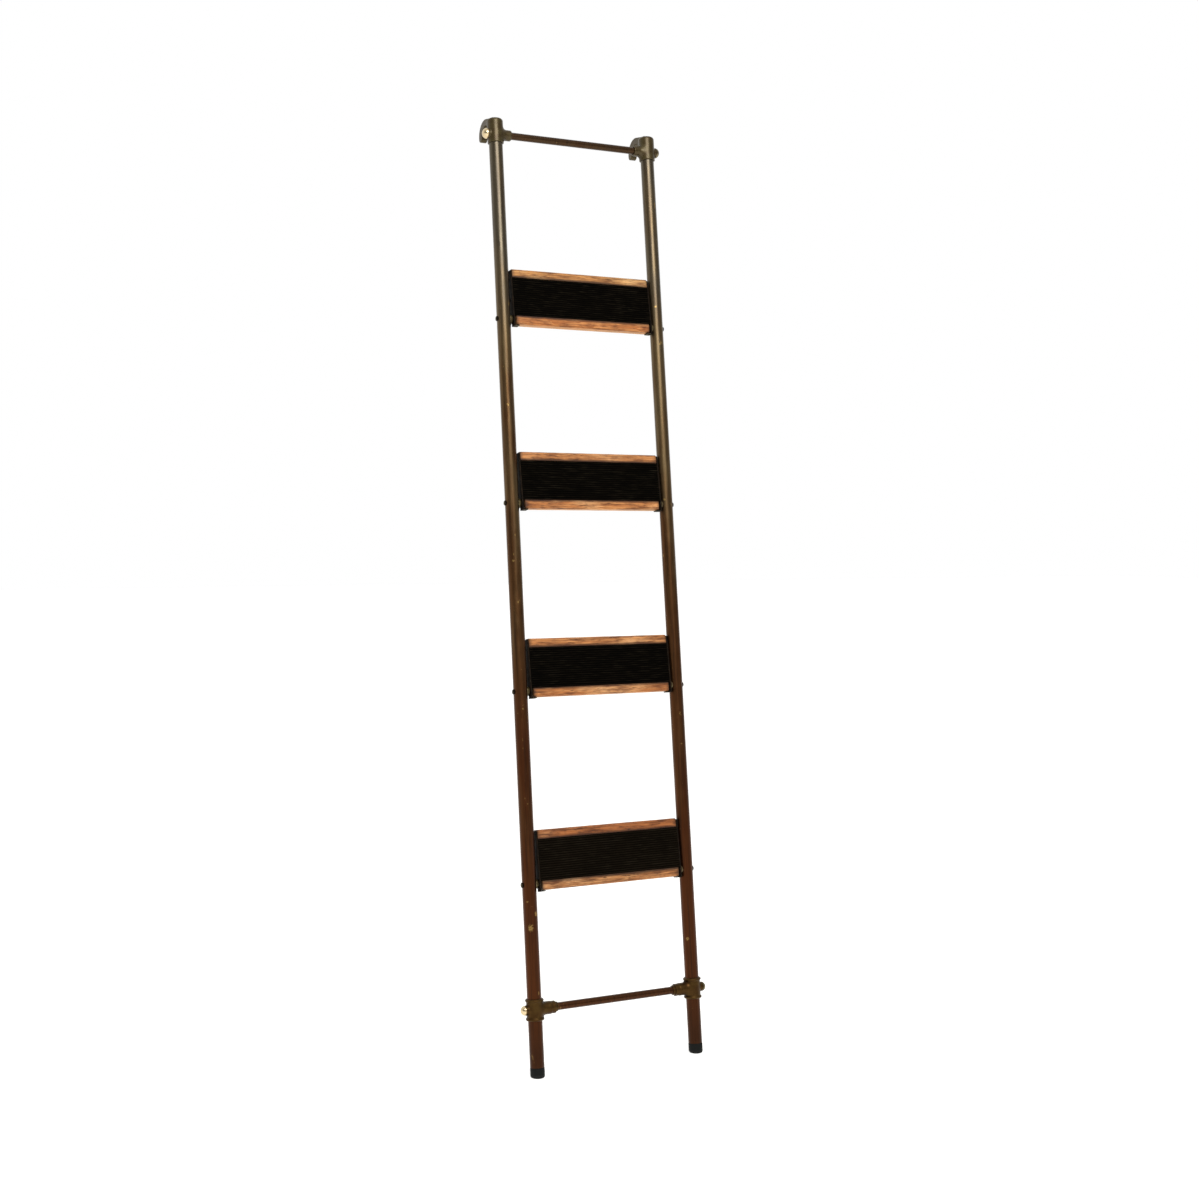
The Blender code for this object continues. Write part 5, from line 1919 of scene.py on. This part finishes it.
@dataclass
class Studio:
    """A pale floor, a bright surround, one large soft box, and the camera."""

    floor_size: float = 60.0
    floor_colour: Colour = (0.90, 0.90, 0.89)
    camera_place: Point = (-1.3167, -2.7129, 0.9347)
    camera_turn: float = math.radians(-26.27)
    lens: float = 48.72
    rise: float = -0.0486
    box_place: Point = (-0.55, -3.1, 3.3)
    box_size: Span = (2.2, 1.7)
    box_power: float = 120.0
    glow: float = 0.42
    glow_colour: Colour = (1.0, 0.995, 0.98)
    front_tone: Colour = (0.16, 0.15, 0.14)
    backdrop: Colour = (1.0, 1.0, 1.0)
    aim: Point = (0.0, 0.0, 1.0)

    def lay_floor(self) -> None:
        """A square of pale floor, with a faint mottle."""
        half = self.floor_size / 2
        ticks = np.linspace(-half, half, 3)
        x, y = np.meshgrid(ticks, ticks)
        points = np.stack([x, y, 0 * x], axis=-1).reshape(-1, 3)
        mesh = bpy.data.meshes.new("floor")
        mesh.from_pydata(points.tolist(), [], grid_faces(3, 3, False).tolist())
        material = bpy.data.materials.new("pale_floor")
        material.use_nodes = True
        nodes = Nodes(material.node_tree)
        shader = material.node_tree.nodes["Principled BSDF"]
        shader.inputs["Roughness"].default_value = 0.7
        shader.inputs["Emission Color"].default_value = (*self.glow_colour, 1.0)
        shader.inputs["Emission Strength"].default_value = self.glow
        place = nodes.add("ShaderNodeTexCoord").outputs["Object"]
        shade = nodes.blend(nodes.noise(place, 3.0), self.floor_colour,
                            tuple(0.97 * part for part in self.floor_colour))
        nodes.tree.links.new(shade, shader.inputs["Base Color"])
        mesh.materials.append(material)
        floor = bpy.data.objects.new("floor", mesh)
        bpy.context.scene.collection.objects.link(floor)
        floor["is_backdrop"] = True

    def light(self) -> None:
        """A surround that is bright behind the ladder and dim in front, and one soft box."""
        world = bpy.data.worlds.new("studio")
        bpy.context.scene.world = world
        world.use_nodes = True
        nodes = Nodes(world.node_tree)
        way = nodes.add("ShaderNodeTexCoord").outputs["Generated"]
        axes = nodes.add("ShaderNodeSeparateXYZ", {0: way})
        behind = nodes.remap(axes.outputs["Y"], -0.35, 0.35)
        above = nodes.remap(axes.outputs["Z"], 0.1, 0.9)
        bright = nodes.maths("MAXIMUM", behind, nodes.maths("MULTIPLY", above, 0.85))
        tone = nodes.blend(bright, self.front_tone, self.glow_colour)
        shown = nodes.add("ShaderNodeLightPath").outputs["Is Camera Ray"]
        colour = nodes.blend(shown, tone, self.backdrop)
        background = world.node_tree.nodes["Background"]
        nodes.tree.links.new(colour, background.inputs["Color"])
        lamp = bpy.data.lights.new("soft_box", "AREA")
        lamp.shape = "RECTANGLE"
        lamp.size, lamp.size_y = self.box_size
        lamp.energy = self.box_power
        holder = bpy.data.objects.new("soft_box", lamp)
        holder.location = self.box_place
        aim = np.array(self.aim) - np.array(self.box_place)
        holder.rotation_euler = (math.acos(-aim[2] / np.linalg.norm(aim)), 0,
                                 math.atan2(-aim[0], aim[1]))
        bpy.context.scene.collection.objects.link(holder)

    def set_camera(self) -> None:
        """A level camera to the left of the ladder."""
        data = bpy.data.cameras.new("camera")
        data.lens = self.lens
        data.shift_y = self.rise
        camera = bpy.data.objects.new("camera", data)
        camera.location = self.camera_place
        camera.rotation_euler = (math.pi / 2, 0, self.camera_turn)
        bpy.context.scene.collection.objects.link(camera)
        bpy.context.scene.camera = camera

    def dress(self) -> None:
        """Set everything up."""
        self.set_camera()
        self.lay_floor()
        self.light()
        bpy.context.scene.view_settings.view_transform = "Standard"


def corners(bounds: tuple) -> list[list[float]]:
    """A box's two corners as plain lists."""
    return [list(corner) for corner in bounds]


def main() -> None:
    """Load the frame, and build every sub-assembly round it."""
    logging.basicConfig(level=logging.INFO, format="%(message)s")
    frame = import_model()
    solid_box = corners(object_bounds())
    ladder = LadderFrame.read(frame)
    Studio().dress()
    for side in Side:
        Stile(ladder, side).dress()
    TopFitting(ladder).dress()
    BottomTee(ladder).dress()
    TieRod(ladder, Level.TOP, 1700 * MM, 20.5 * MM, 16 * MM, 9.8 * MM, 9.6 * MM).dress()
    TieRod(ladder, Level.BOTTOM, 115.5 * MM, 32 * MM, 18 * MM, 8.4 * MM, 8 * MM).dress()
    for index in range(len(ladder.pivots)):
        Board(ladder, index).dress()
    Bracket(ladder).dress()
    PivotSet(ladder).dress()
    {"cad": solid_box, "visual": corners(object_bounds())}


if __name__ == "__main__":
    main()
